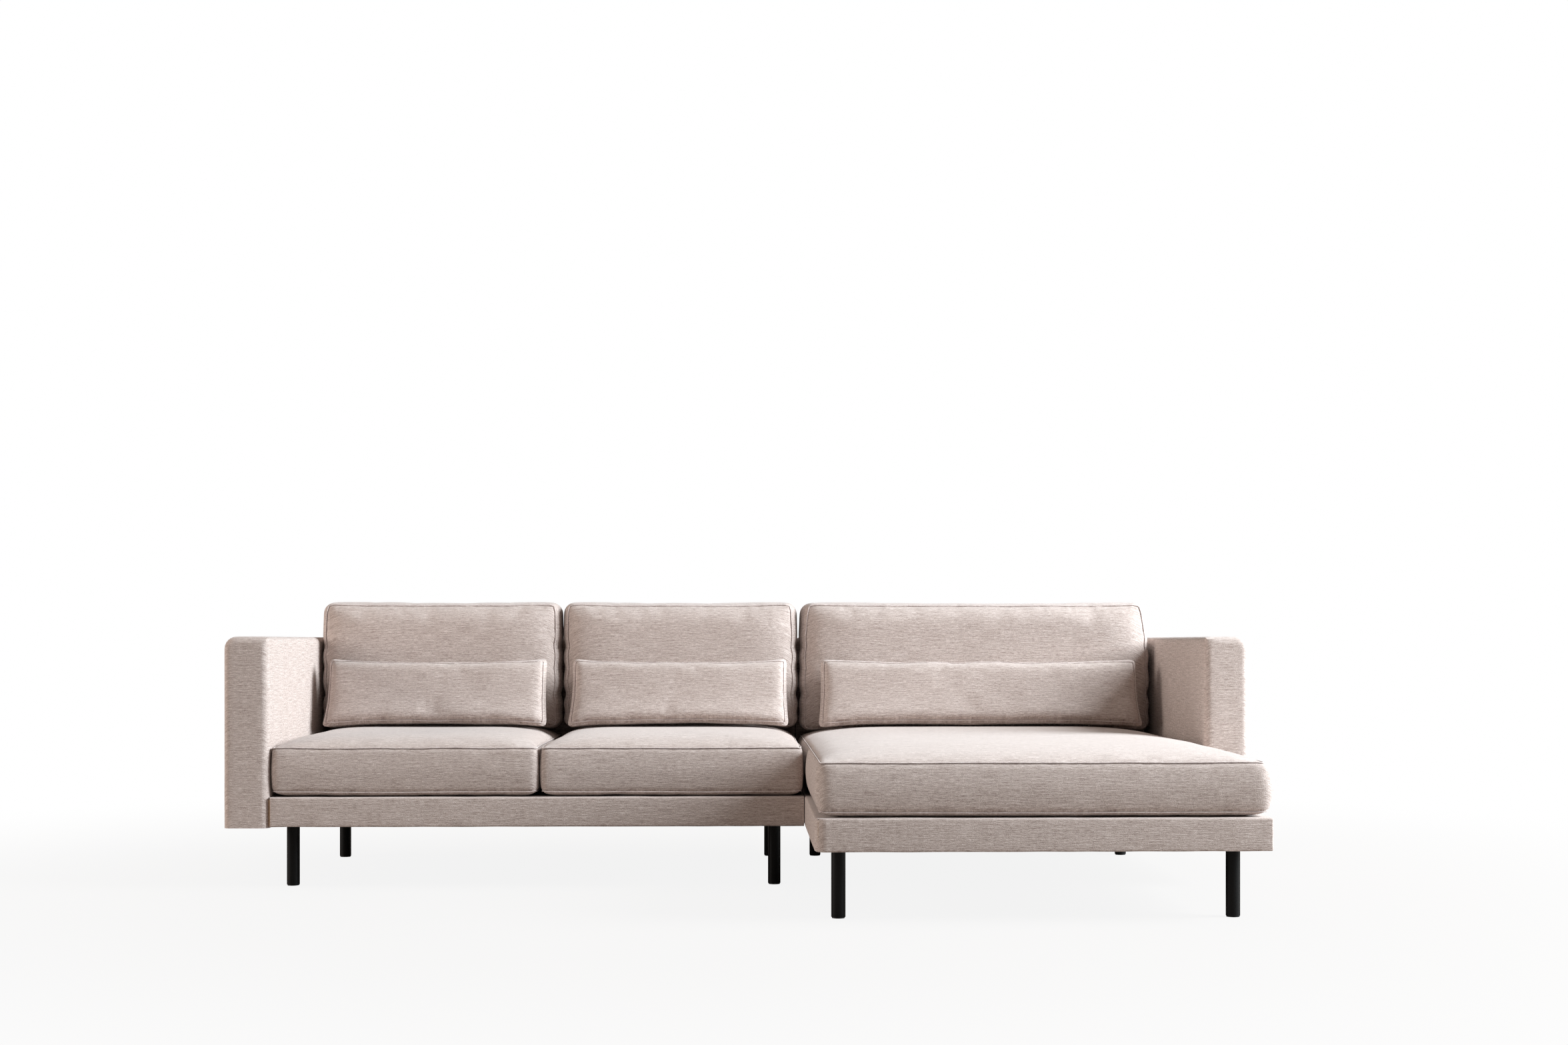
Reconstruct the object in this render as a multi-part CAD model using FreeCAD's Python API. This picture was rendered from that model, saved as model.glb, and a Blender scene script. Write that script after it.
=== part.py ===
"""Two-seat sofa section joined to a chaise section, as separate pieces, in millimetres.

The origin is on the floor, at the centre of the whole sofa seen from above.
+X points to the right seen from the front, +Y to the back and +Z up.
"""
import FreeCAD
import Part
import os
from FreeCAD import Vector
from math import cos, radians

os.makedirs("parts", exist_ok=True)

# Overall sizes, in millimetres
sofa_width = 2880.0
sofa_depth = 1650.0
main_depth = 950.0
sofa_top = 820.0
arm_width = 120.0
back_thickness = 120.0
arm_top = 708.0
arm_drop = 3.0
base_bottom = 174.0
base_height = 83.0
main_seat_length = 1505.0
module_gap = 2.0

# Padding and cloth
arm_padding = 12.0
back_padding = 12.0
back_end_padding = 2.0
base_padding = 8.0
end_cloth = 2.0
deck_cloth = 2.0
dust_cloth = 1.0
cover_lip = 2.0
top_lip_depth = 60.0
bottom_lip_depth = 12.0
arm_outer_radius = 30.0
arm_edge_radius = 17.0
back_edge_radius = 16.0
base_corner_radius = 28.0
base_arm_corner_radius = 10.0
base_edge_chamfer = 4.0

# Timber frame
rail_thickness = 25.0
block_height = 36.0
block_margin = 43.0
cross_rail_width = 45.0
post_width = 45.0
post_depth = 71.0
board_thickness = 22.0
lower_back_rail_height = 41.0
lower_back_rail_lift = 2.0
arm_post_length = 45.0
post_spacing = 290.0
hardboard = 3.0

# Webbing
band_width = 60.0
band_thickness = 2.0
band_spacing = 180.0
band_end_margin = 4.0

# Legs and their fittings
leg_radius = 18.0
leg_wall = 1.5
leg_front_inset = 100.0
leg_back_inset = 100.0
chaise_leg_front_inset = 96.0
main_left_leg_inset = 53.5
main_right_leg_inset = 82.0
chaise_left_leg_inset = 63.0
chaise_right_leg_inset = 74.0
plate_size = 70.0
plate_thickness = 3.0
plate_clearance = 2.0
glide_height = 3.0
glide_depth = 12.0
glide_clearance = 0.1

# Bolts between the arms and the bases
bolt_radius = 4.0
bolt_head_radius = 7.5
bolt_head_height = 5.5
bolt_head_sides = 6
arm_bolt_length = 75.0
bolt_clearance = 0.5
bolt_height = 40.0
arm_bolt_front_inset = 275.0
arm_bolt_back_inset = 265.0

# Connectors between the two sections
tongue_width = 25.0
tongue_thickness = 3.0
tongue_length = 130.0
tongue_reach = 60.0
strap_thickness = 2.5
strap_length = 30.0
strap_flange = 16.0
strap_inset = 20.0
connector_clearance = 0.5

# Loose cushions
soft_gap = 0.3
seat_side_gap = 8.0
seat_between_gap = 1.0
middle_seat_width = 745.0
seat_front_gap = 2.0
seat_bottom_seam = 12.0
seat_top_seam = 133.0
seat_crown = 42.0
seat_bottom_inset = 10.0
seat_seam_inset = 4.0
seat_corner_radius = 24.0
seat_draw_share = 0.008
back_cushion_gap = 1.0
chaise_back_cushion_gap = 12.0
back_cushion_depth = 145.0
back_cushion_crown = 45.0
back_cushion_seam_inset = 14.0
back_cushion_corner_radius = 34.0
back_cushion_draw_share = 0.015
pillow_side_inset = 35.0
chaise_pillow_side_inset = 72.0
pillow_height = 208.0
pillow_thickness = 124.0
pillow_corner_radius = 14.0
pillow_draw_share = 0.023
pillow_lean = 3.0
pillow_start_gap = 10.0
contact_rounds = 5

# How a cushion swells from its seam: steps, how far in they reach, how they crowd the seam, and fullness
crown_steps = 4
crown_reach_share = 0.8
crown_crowding = 1.7
crown_fullness = 5.0
pillow_reach_share = 0.8
pillow_fullness = 3.2
widest_corner_share = 0.9

# Directions, and how closely a test of a place or a direction holds
x_axis = Vector(1, 0, 0)
y_axis = Vector(0, 1, 0)
z_axis = Vector(0, 0, 1)
closeness = 0.3
flatness = 0.001
mostly_share = 0.5

# Planes that the pieces share
right_side = sofa_width / 2
left_side = -right_side
back_plane = sofa_depth / 2
chaise_front = -back_plane
main_front = back_plane - main_depth
left_inner = left_side + arm_width
right_inner = right_side - arm_width
main_end = left_inner + main_seat_length
chaise_end = main_end + module_gap
back_front = back_plane - back_thickness
base_top = base_bottom + base_height
cloth_top = base_top - cover_lip
cloth_bottom = cloth_top - deck_cloth
rail_bottom = base_bottom + cover_lip
rail_top = cloth_bottom - 2 * band_thickness
block_top = rail_bottom + block_height
dust_bottom = rail_bottom - dust_cloth
plate_bottom = rail_bottom - plate_thickness
arm_bottom = base_bottom - arm_drop
seat_top = base_top + soft_gap + seat_top_seam + seat_crown

# Faces of the timber under the padding
timber_left = left_inner + base_padding
main_timber_end = main_end - end_cloth
chaise_timber_end = chaise_end + base_padding
timber_right = right_inner - base_padding
main_timber_front = main_front + base_padding
chaise_timber_front = chaise_front + base_padding
timber_back = back_plane - back_padding
post_front = timber_back - post_depth
rear_rail_front = post_front - rail_thickness
web_front = back_front + back_padding
back_timber_top = arm_top - back_padding
arm_timber_top = arm_top - arm_padding
arm_timber_front = main_front + arm_padding
arm_timber_back = back_plane - arm_padding

# Leg centres
main_leg_front = main_front + leg_front_inset
chaise_leg_front = chaise_front + chaise_leg_front_inset
leg_back = back_plane - leg_back_inset
leg_places = {
    "main_front_left": (left_inner + main_left_leg_inset, main_leg_front),
    "main_rear_left": (left_inner + main_left_leg_inset, leg_back),
    "main_front_right": (main_end - main_right_leg_inset, main_leg_front),
    "main_rear_right": (main_end - main_right_leg_inset, leg_back),
    "chaise_front_left": (chaise_end + chaise_left_leg_inset, chaise_leg_front),
    "chaise_rear_left": (chaise_end + chaise_left_leg_inset, leg_back),
    "chaise_front_right": (right_inner - chaise_right_leg_inset, chaise_leg_front),
    "chaise_rear_right": (right_inner - chaise_right_leg_inset, leg_back),
}

pieces = {}


def keep(name, *solids):
    """Remembers a node as one solid or as a group of separate ones."""
    pieces[name] = solids[0] if len(solids) == 1 else Part.makeCompound(list(solids))


def block(low, high):
    """A box between two corners."""
    size = Vector(*high) - Vector(*low)
    return Part.makeBox(size.x, size.y, size.z, Vector(*low))


def rod(radius, length, foot, direction=z_axis):
    """A round bar from its foot along a direction."""
    return Part.makeCylinder(radius, length, Vector(*foot), direction)


def fused(*solids):
    """One solid out of touching ones, without the seams between flush faces."""
    return solids[0].fuse(list(solids[1:])).removeSplitter()


def rounded(solid, radius, wanted):
    """Fillets the straight edges whose middle passes the test."""
    edges = [e for e in solid.Edges if wanted(e.CenterOfMass, e.tangentAt(e.FirstParameter))]
    return solid.makeFillet(radius, edges)


def chamfered(solid, size, wanted):
    """Chamfers the edges whose middle passes the test."""
    edges = [e for e in solid.Edges if wanted(e.CenterOfMass, e.tangentAt(e.FirstParameter))]
    return solid.makeChamfer(size, edges)


def near(value, target):
    return abs(value - target) < closeness


def runs(tangent, axis):
    return abs(tangent.dot(axis)) > mostly_share


# Timber rails of the two bases
def side_rail(face, inward, front):
    """A rail that runs from the front rail to the rear rail, with its outer face in one plane."""
    low, high = sorted((face, face + inward * rail_thickness))
    return block((low, front + rail_thickness, rail_bottom), (high, rear_rail_front, rail_top))


def cross_rail(left, right, front):
    """The low rail halfway along a base, under the webbing."""
    middle = (left + right) / 2
    low = middle - cross_rail_width / 2
    high = middle + cross_rail_width / 2
    return block((low, front + rail_thickness, rail_bottom), (high, rear_rail_front, block_top))


def make_base_rails(section, left, right, front):
    keep(section + "_front_rail",
         block((left, front, rail_bottom), (right, front + rail_thickness, rail_top)))
    keep(section + "_rear_rail",
         block((left, rear_rail_front, rail_bottom), (right, post_front, rail_top)))
    keep(section + "_left_rail", side_rail(left, 1, front))
    keep(section + "_right_rail", side_rail(right, -1, front))
    keep(section + "_cross_rail", cross_rail(left, right, front))


def corner_block(leg, left, right, front):
    """A block in the corner of a base, from the rails' inner faces to just past the leg."""
    x, y = leg
    inner_left = left + rail_thickness
    inner_right = right - rail_thickness
    if x - left < right - x:
        x_range = (inner_left, x + block_margin)
    else:
        x_range = (x - block_margin, inner_right)
    if y < back_front - plate_size:
        y_range = (front + rail_thickness, y + block_margin)
    else:
        y_range = (rear_rail_front - plate_size, rear_rail_front)
    return block((x_range[0], y_range[0], rail_bottom), (x_range[1], y_range[1], block_top))


def make_corner_blocks():
    blocks = []
    for name, leg in leg_places.items():
        if name.startswith("main"):
            solid = corner_block(leg, timber_left, main_timber_end, main_timber_front)
        else:
            solid = corner_block(leg, chaise_timber_end, timber_right, chaise_timber_front)
        blocks.append(solid)
    keep("leg_corner_blocks", *blocks)


# Webbing that carries the seats and the back cushions
def evenly(low, high, spacing):
    """Centres of as many strips as fit side by side at about the spacing."""
    count = max(2, round((high - low) / spacing))
    step = (high - low) / count
    return [low + step * (i + 0.5) for i in range(count)]


def woven_band(y, x_low, x_high, crossings, first_over):
    """A band along X, flat on the side rails, that passes over and under the bands that it crosses."""
    reach = band_width / 2 + band_thickness
    seat = rail_thickness - band_end_margin
    middle = rail_top
    line = [(x_low, middle), (x_low + seat, middle)]
    for i, x in enumerate(crossings):
        over = (i % 2 == 0) == first_over
        height = middle + band_thickness * (1 if over else -1)
        line.append((x - reach, height))
        line.append((x + reach, height))
    line.append((x_high - seat, middle))
    line.append((x_high, middle))
    upper = [Vector(x, y - band_width / 2, z + band_thickness) for x, z in line]
    lower = [Vector(x, y - band_width / 2, z) for x, z in reversed(line)]
    face = Part.Face(Part.makePolygon(upper + lower + upper[:1]))
    return face.extrude(Vector(0, band_width, 0))


def make_seat_webbing(section, left, right, front):
    """Straight bands from front to back, and bands woven through them from side to side."""
    x_low = left + band_end_margin
    x_high = right - band_end_margin
    y_low = front + band_end_margin
    y_high = post_front - band_end_margin
    columns = evenly(left + rail_thickness, right - rail_thickness, band_spacing)
    rows = evenly(front + rail_thickness, rear_rail_front, band_spacing)
    bands = []
    for x in columns:
        bands.append(block((x - band_width / 2, y_low, rail_top),
                           (x + band_width / 2, y_high, rail_top + band_thickness)))
    for i, y in enumerate(rows):
        bands.append(woven_band(y, x_low, x_high, columns, i % 2 == 0))
    keep(section + "_seat_webbing", *bands)


def make_back_webbing(section, left, right):
    """Upright bands on the front of a back frame."""
    foot = base_top + lower_back_rail_lift
    bands = []
    for x in evenly(left, right, band_spacing):
        bands.append(block((x - band_width / 2, web_front, foot),
                           (x + band_width / 2, web_front + band_thickness, back_timber_top)))
    keep(section + "_back_webbing", *bands)


# Back frames
def spread(low, high, width):
    """Low edges of posts of one width: one at each end, the rest evenly between at about the spacing."""
    count = max(1, round((high - low) / post_spacing))
    step = (high - low - width) / count
    return [low + step * i for i in range(count + 1)]


def make_back_frame(section, left, right):
    """Posts outside the rear rail, with a board across their tops and a rail above the deck."""
    front = web_front + band_thickness
    foot = base_top + lower_back_rail_lift
    posts = []
    for x in spread(left, right, post_width):
        posts.append(block((x, post_front, rail_bottom),
                           (x + post_width, timber_back, back_timber_top - board_thickness)))
    top_board = block((left, front, back_timber_top - board_thickness),
                      (right, timber_back, back_timber_top))
    lower_rail = block((left, front, foot), (right, post_front, foot + lower_back_rail_height))
    keep(section + "_back_frame", fused(top_board, lower_rail, *posts))


def bolt(foot, direction, length):
    """A round shank with a flat-sided head behind the foot."""
    axis = Vector(*direction)
    shank = rod(bolt_radius, length, foot, axis)
    start = Vector(*foot) - axis * bolt_head_height
    across = axis.cross(z_axis) * bolt_head_radius
    corners = []
    for i in range(bolt_head_sides):
        turn = FreeCAD.Rotation(axis, 360 / bolt_head_sides * i)
        corners.append(start + turn.multVec(across))
    head = Part.Face(Part.makePolygon(corners + corners[:1])).extrude(axis * bolt_head_height)
    return fused(shank, head)


# Arm frames
def make_arm_frame(side, sign):
    """A wide bottom board, four posts and a top board, with bolt holes in the bottom board."""
    outer = sign * (right_side - arm_padding)
    inner = sign * (right_inner + arm_padding)
    foot_inner = sign * timber_right
    x_board = sorted((outer, foot_inner))
    x_post = sorted((outer - sign * hardboard, inner + sign * hardboard))
    foot = block((x_board[0], arm_timber_front, rail_bottom), (x_board[1], arm_timber_back, rail_top))
    top = block((x_post[0], arm_timber_front, arm_timber_top - board_thickness),
                (x_post[1], arm_timber_back, arm_timber_top))
    posts = []
    for y in spread(arm_timber_front, arm_timber_back, arm_post_length):
        posts.append(block((x_post[0], y, rail_top),
                           (x_post[1], y + arm_post_length, arm_timber_top - board_thickness)))
    frame = fused(foot, top, *posts)
    for y in arm_bolt_places():
        frame = frame.cut(arm_bolt_hole(sign, y))
    keep(side + "_arm_frame", frame)
    sheets = []
    for face, inward, low in ((outer, -sign, rail_top), (inner, sign, base_top)):
        x_sheet = sorted((face, face + inward * hardboard))
        sheets.append(block((x_sheet[0], arm_timber_front, low),
                            (x_sheet[1], arm_timber_back, arm_timber_top)))
    keep(side + "_arm_panels", *sheets)


def arm_bolt_places():
    return (main_front + arm_bolt_front_inset, back_plane - arm_bolt_back_inset)


def arm_bolt_hole(sign, y):
    foot = (sign * (timber_right - rail_thickness), y, rail_bottom + bolt_height)
    return rod(bolt_radius + bolt_clearance, arm_bolt_length + bolt_clearance, foot, Vector(sign, 0, 0))


def drill_bolted_rails():
    """Holes for the bolts through the side rails that carry the arms."""
    for y in arm_bolt_places():
        pieces["main_left_rail"] = pieces["main_left_rail"].cut(arm_bolt_hole(-1, y))
        pieces["chaise_right_rail"] = pieces["chaise_right_rail"].cut(arm_bolt_hole(1, y))


def make_bolts():
    height = rail_bottom + bolt_height
    arm_bolts = []
    for sign in (-1, 1):
        for y in arm_bolt_places():
            foot = (sign * (timber_right - rail_thickness), y, height)
            arm_bolts.append(bolt(foot, (sign, 0, 0), arm_bolt_length))
    keep("arm_bolts", *arm_bolts)


# Padded covers
def make_arm_cover(side, sign):
    """A padded sleeve over the arm frame, open below, whose inner wall stops at the deck."""
    x_low, x_high = sorted((sign * right_side, sign * right_inner))
    cover = block((x_low, main_front, arm_bottom), (x_high, back_plane, arm_top))
    outer = sign * right_side
    inner = sign * right_inner
    middle = (main_front + back_plane) / 2
    cover = rounded(cover, arm_outer_radius,
                    lambda c, t: near(c.x, outer) and near(c.z, arm_top) and near(c.y, middle))
    cover = rounded(cover, arm_edge_radius, lambda c, t: near(c.y, main_front) and c.z > base_bottom
                    or near(c.x, inner) and near(c.z, arm_top))
    inner_low, inner_high = sorted((sign * (right_side - arm_padding), sign * (right_inner + arm_padding)))
    cavity = block((inner_low, arm_timber_front, arm_bottom), (inner_high, arm_timber_back, arm_timber_top))
    foot_low, foot_high = sorted((sign * (right_side - arm_padding), sign * right_inner))
    foot = block((foot_low, arm_timber_front, arm_bottom), (foot_high, arm_timber_back, base_top))
    keep(side + "_arm_cover", cover.cut(cavity).cut(foot))


def make_back_cover(section, left, right):
    """A padded sleeve over the back frame, down to the deck in front and to the base behind."""
    cover = block((left, back_front, base_bottom), (right, back_plane, arm_top))
    cover = rounded(cover, back_edge_radius, lambda c, t: near(c.z, arm_top))
    cavity = block((left + back_end_padding, web_front, base_bottom),
                   (right - back_end_padding, timber_back, back_timber_top))
    notch = block((left, back_front, base_bottom), (right, timber_back, base_top))
    keep(section + "_back_cover", cover.cut(cavity).cut(notch))


def make_main_front_cover():
    """The padded face of the front rail, folded over the deck and under the rail."""
    face = wrapped((left_inner, main_front), (main_end, main_front + top_lip_depth))
    face = chamfered(face, base_edge_chamfer, lambda c, t: near(c.y, main_front) and runs(t, x_axis))
    timber = block((left_inner, main_timber_front, rail_bottom), (main_end, back_front, cloth_top))
    under = block((left_inner, main_timber_front + bottom_lip_depth, base_bottom),
                  (main_end, back_front, cloth_top))
    keep("main_front_cover", face.cut(timber).cut(under))


def wrapped(low, high):
    """A block as tall as the base."""
    return block((low[0], low[1], base_bottom), (high[0], high[1], base_top))


def make_chaise_covers():
    """The padded faces of the chaise base: a front whose free corner is rounder, and two sides."""
    rear = chaise_front + top_lip_depth
    face = wrapped((chaise_end, chaise_front), (right_inner, rear))
    for x_corner, radius in ((chaise_end, base_corner_radius), (right_inner, base_arm_corner_radius)):
        face = rounded(face, radius, lambda c, t: near(c.y, chaise_front) and near(c.x, x_corner))
    face = chamfered(face, base_edge_chamfer, lambda c, t: not near(c.y, rear) and not runs(t, z_axis))
    timber = block((chaise_timber_end, chaise_timber_front, rail_bottom), (timber_right, back_front, cloth_top))
    under = block((chaise_timber_end + bottom_lip_depth, chaise_timber_front + bottom_lip_depth, base_bottom),
                  (timber_right - bottom_lip_depth, back_front, cloth_top))
    keep("chaise_front_cover", face.cut(timber).cut(under))
    for name, x_outer, inward, y_end in (
        ("chaise_left_cover", chaise_end, 1, post_front),
        ("chaise_right_cover", right_inner, -1, arm_timber_front),
    ):
        x_low, x_high = sorted((x_outer, x_outer + inward * top_lip_depth))
        side = wrapped((x_low, rear), (x_high, y_end))
        side = chamfered(side, base_edge_chamfer, lambda c, t: near(c.x, x_outer) and runs(t, y_axis))
        keep(name, side.cut(side_core(x_outer, inward, rear, y_end)))


def side_core(x_outer, inward, y_low, y_high):
    """What a side cover leaves open: the rail, and the room past its lower lip."""
    far = x_outer + inward * top_lip_depth
    rail_x = sorted((x_outer + inward * base_padding, far))
    under_x = sorted((x_outer + inward * (base_padding + bottom_lip_depth), far))
    rail = block((rail_x[0], y_low, rail_bottom), (rail_x[1], y_high, cloth_top))
    under = block((under_x[0], y_low, base_bottom), (under_x[1], y_high, cloth_top))
    return fused(rail, under)


def make_cloths():
    """Cloth over the webbing, cloth under the frames, and the plain end of the main base."""
    keep("main_deck_cloth", block((timber_left, main_timber_front, cloth_bottom),
                                  (main_timber_end, post_front, cloth_top)))
    keep("chaise_deck_cloth", block((chaise_timber_end, chaise_timber_front, cloth_bottom),
                                    (timber_right, post_front, cloth_top)))
    keep("main_end_cover", block((main_timber_end, main_timber_front, rail_bottom),
                                 (main_end, timber_back, cloth_top)))
    inset = bottom_lip_depth
    for section, left, right, front in (
        ("main", timber_left + inset, main_timber_end - inset, main_timber_front + inset),
        ("chaise", chaise_timber_end + inset, timber_right - inset, chaise_timber_front + inset),
    ):
        sheet = block((left, front, dust_bottom), (right, timber_back, rail_bottom))
        for name, (x, y) in leg_places.items():
            if name.startswith(section):
                sheet = sheet.cut(square_at(x, y, plate_size / 2 + plate_clearance, dust_bottom, dust_cloth))
        keep(section + "_dust_cover", sheet)
    strips = []
    for sign in (-1, 1):
        x_low, x_high = sorted((sign * right_inner, sign * (right_side - arm_padding)))
        strips.append(block((x_low, arm_timber_front, dust_bottom), (x_high, arm_timber_back, rail_bottom)))
    keep("arm_dust_strips", *strips)


def square_at(x, y, half, low, height):
    return block((x - half, y - half, low), (x + half, y + half, low + height))


# Legs
def make_legs():
    """Tubes with a fixing plate welded on top, and a glide pressed in below."""
    bore = leg_radius - leg_wall
    glides = []
    for name, (x, y) in leg_places.items():
        length = plate_bottom - glide_height
        tube = rod(leg_radius, length, (x, y, glide_height))
        plate = square_at(x, y, plate_size / 2, plate_bottom, plate_thickness)
        inside = rod(bore, length, (x, y, glide_height))
        keep(name + "_leg", tube.fuse(plate).cut(inside))
        glides.append(rod(bore - glide_clearance, glide_height + glide_depth, (x, y, 0)))
    keep("leg_glides", *glides)


# Connectors
def make_connectors():
    """Flat tongues under the chaise section that slide through straps under the main one."""
    tongues = []
    straps = []
    top = base_bottom
    bottom = top - tongue_thickness
    for y in arm_bolt_places():
        start = chaise_end - tongue_reach
        tongues.append(block((start, y - tongue_width / 2, bottom),
                             (start + tongue_length, y + tongue_width / 2, top)))
        straps.append(strap(main_timber_end - strap_inset - strap_length, y, bottom))
    keep("connector_tongues", *tongues)
    keep("connector_straps", *straps)


def strap(x, y, tongue_bottom):
    """A bent strip with two flanges against the base and a slot that holds the tongue."""
    slot = tongue_width / 2 + connector_clearance
    wall = slot + strap_thickness
    wing = wall + strap_flange
    floor = tongue_bottom - connector_clearance
    under = floor - strap_thickness
    rim = dust_bottom - strap_thickness
    outline = [(-wing, dust_bottom), (-slot, dust_bottom), (-slot, floor), (slot, floor), (slot, dust_bottom),
               (wing, dust_bottom), (wing, rim), (wall, rim), (wall, under), (-wall, under), (-wall, rim),
               (-wing, rim)]
    points = [Vector(x, y + across, height) for across, height in outline]
    return Part.Face(Part.makePolygon(points + points[:1])).extrude(Vector(strap_length, 0, 0))


# Loose cushions, each made lying down with its thickness along Z
def contour(width, height, corner, draw_share, level, foot_draw_share=None):
    """A four-sided outline with round corners, whose sides draw in towards their middles.

    The foot side can draw in by a share of its own, as where a cushion stands on it.
    """
    a = width / 2
    b = height / 2
    r = min(corner, widest_corner_share * min(a, b))
    k = r * (1 - cos(radians(45)))
    waist_a = a - draw_share * (b - r)
    waist_b = b - draw_share * (a - r)
    foot = b - (draw_share if foot_draw_share is None else foot_draw_share) * (a - r)
    points = [(-a + r, b), (0, waist_b), (a - r, b), (a - k, b - k), (a, b - r), (waist_a, 0), (a, -b + r),
              (a - k, -b + k), (a - r, -b), (0, -foot), (-a + r, -b), (-a + k, -b + k), (-a, -b + r),
              (-waist_a, 0), (-a, b - r), (-a + k, b - k)]
    places = [Vector(u, v, level) for u, v in points + points[:1]]
    edges = []
    for i in range(0, len(points), 2):
        start, middle, end = places[i:i + 3]
        if i % 4:
            edges.append(Part.Arc(start, middle, end).toShape())
        else:
            edges.append(Part.makeLine(start, middle))
            edges.append(Part.makeLine(middle, end))
    return Part.Wire(edges)


def swell(reach_share, fullness):
    """Steps of a crown: how far in each contour lies, and how high, as shares of the reach and the rise."""
    steps = []
    for i in range(crown_steps + 1):
        inset_share = reach_share * (i / crown_steps) ** crown_crowding
        steps.append((inset_share, 1 - (1 - inset_share) ** fullness))
    return steps


def crown(width, height, corner, draw_share, base, rise, steps, foot_draw_share=None):
    """A dome over a contour: smaller and smaller contours that climb."""
    wires = []
    for inset_share, height_share in steps:
        inset = min(width, height) / 2 * inset_share
        wires.append(contour(width - 2 * inset, height - 2 * inset, corner, draw_share,
                             base + rise * height_share, foot_draw_share))
    return flattened(Part.makeLoft(wires, True, True))


def flattened(solid):
    """The same solid, with its flat faces as true planes."""
    faces = []
    for face in solid.Faces:
        plane = face.findPlane(flatness)
        faces.append(Part.Face(plane, face.OuterWire) if plane else face)
    return Part.makeSolid(Part.makeShell(faces))


def seat_cushion(width, depth):
    """A boxed cushion: flat below, a bulging band between two seams, and a crowned top."""
    corner = seat_corner_radius
    seam_width = width - 2 * seat_seam_inset
    seam_depth = depth - 2 * seat_seam_inset
    bottom = contour(width - 2 * seat_bottom_inset, depth - 2 * seat_bottom_inset, corner, seat_draw_share, 0)
    lower_seam = contour(seam_width, seam_depth, corner, seat_draw_share, seat_bottom_seam)
    middle = contour(width, depth, corner, seat_draw_share, (seat_bottom_seam + seat_top_seam) / 2)
    upper_seam = contour(seam_width, seam_depth, corner, seat_draw_share, seat_top_seam)
    foot = Part.makeLoft([bottom, lower_seam], True, True)
    band = Part.makeLoft([lower_seam, middle, upper_seam], True, True)
    top = crown(seam_width, seam_depth, corner, seat_draw_share, seat_top_seam, seat_crown,
                swell(crown_reach_share, crown_fullness))
    return foot.fuse([band, top])


def back_cushion(width, height):
    """A boxed cushion that stands: flat behind, a bulging band, a crowned front and a straight foot."""
    corner = back_cushion_corner_radius
    inset = back_cushion_seam_inset
    draw_share = back_cushion_draw_share
    rear = contour(width - 2 * inset, height - 2 * inset, corner, draw_share, 0, 0)
    middle = contour(width, height, corner, draw_share, back_cushion_depth / 2, 0)
    seam = contour(width - 2 * inset, height - 2 * inset, corner, draw_share, back_cushion_depth, 0)
    band = Part.makeLoft([rear, middle, seam], True, True)
    front = crown(width - 2 * inset, height - 2 * inset, corner, draw_share, back_cushion_depth,
                  back_cushion_crown, swell(crown_reach_share, crown_fullness), 0)
    return band.fuse(front)


def pillow(width):
    """A knife-edged pillow: two domes that meet in one seam, straight along its foot."""
    half = crown(width, pillow_height, pillow_corner_radius, pillow_draw_share, 0, pillow_thickness / 2,
                 swell(pillow_reach_share, pillow_fullness), 0)
    other = half.mirror(Vector(), z_axis)
    return half.fuse(other)


def stood_up(solid, lean, place):
    """Turns a lying cushion so that its thickness points forwards, tips it back and places it."""
    solid.rotate(Vector(), x_axis, 90 - lean)
    solid.translate(Vector(*place))
    return solid


def make_cushions():
    rear = back_front - soft_gap
    split = main_end - middle_seat_width
    gap = seat_between_gap / 2
    seats = (
        ("left", left_inner + seat_side_gap, split - gap, main_front + seat_front_gap),
        ("middle", split + gap, main_end - gap, main_front + seat_front_gap),
        ("chaise", chaise_end + gap, right_inner - seat_side_gap, chaise_front + seat_front_gap),
    )
    for name, left, right, front in seats:
        seat = seat_cushion(right - left, rear - front)
        seat.translate(Vector((left + right) / 2, (front + rear) / 2, base_top + soft_gap))
        keep(name + "_seat_cushion", seat)
        make_back_cushion(name, left, right)
        make_pillow(name, left, right)


def way_to(solid, support, direction):
    """How far a solid can move along a direction until it is a soft gap from its support."""
    moved = solid.copy()
    way = 0
    for _ in range(contact_rounds):
        step = moved.distToShape(support)[0] - soft_gap
        moved.translate(direction * step)
        way += step
    return way


def make_back_cushion(name, left, right):
    """Stands on the rear of its seat cushion, against the back, and ends at the sofa's top."""
    low = left + (chaise_back_cushion_gap if name == "chaise" else back_cushion_gap)
    high = right - back_cushion_gap

    def standing(foot):
        place = ((low + high) / 2, back_front - soft_gap, (foot + sofa_top) / 2)
        return stood_up(back_cushion(high - low, sofa_top - foot), 0, place)

    foot = seat_top + soft_gap
    foot -= way_to(standing(foot), pieces[name + "_seat_cushion"], -z_axis)
    keep(name + "_back_cushion", standing(foot))


def make_pillow(name, left, right):
    """Leans on the back cushion and stands on the seat cushion."""
    inset = chaise_pillow_side_inset if name == "chaise" else pillow_side_inset
    back_face = back_front - back_cushion_depth - back_cushion_crown
    place = ((left + right) / 2, back_face - pillow_thickness / 2 - pillow_start_gap,
             seat_top + pillow_height / 2 + soft_gap)
    solid = stood_up(pillow(right - left - 2 * inset), pillow_lean, place)
    solid.translate(y_axis * way_to(solid, pieces[name + "_back_cushion"], y_axis))
    solid.translate(-z_axis * way_to(solid, pieces[name + "_seat_cushion"], -z_axis))
    keep(name + "_pillow", solid)


def write_parts():
    for name, shape in pieces.items():
        shape.exportStep(os.path.join("parts", name + ".step"))
    print(len(pieces), "nodes written")


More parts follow.
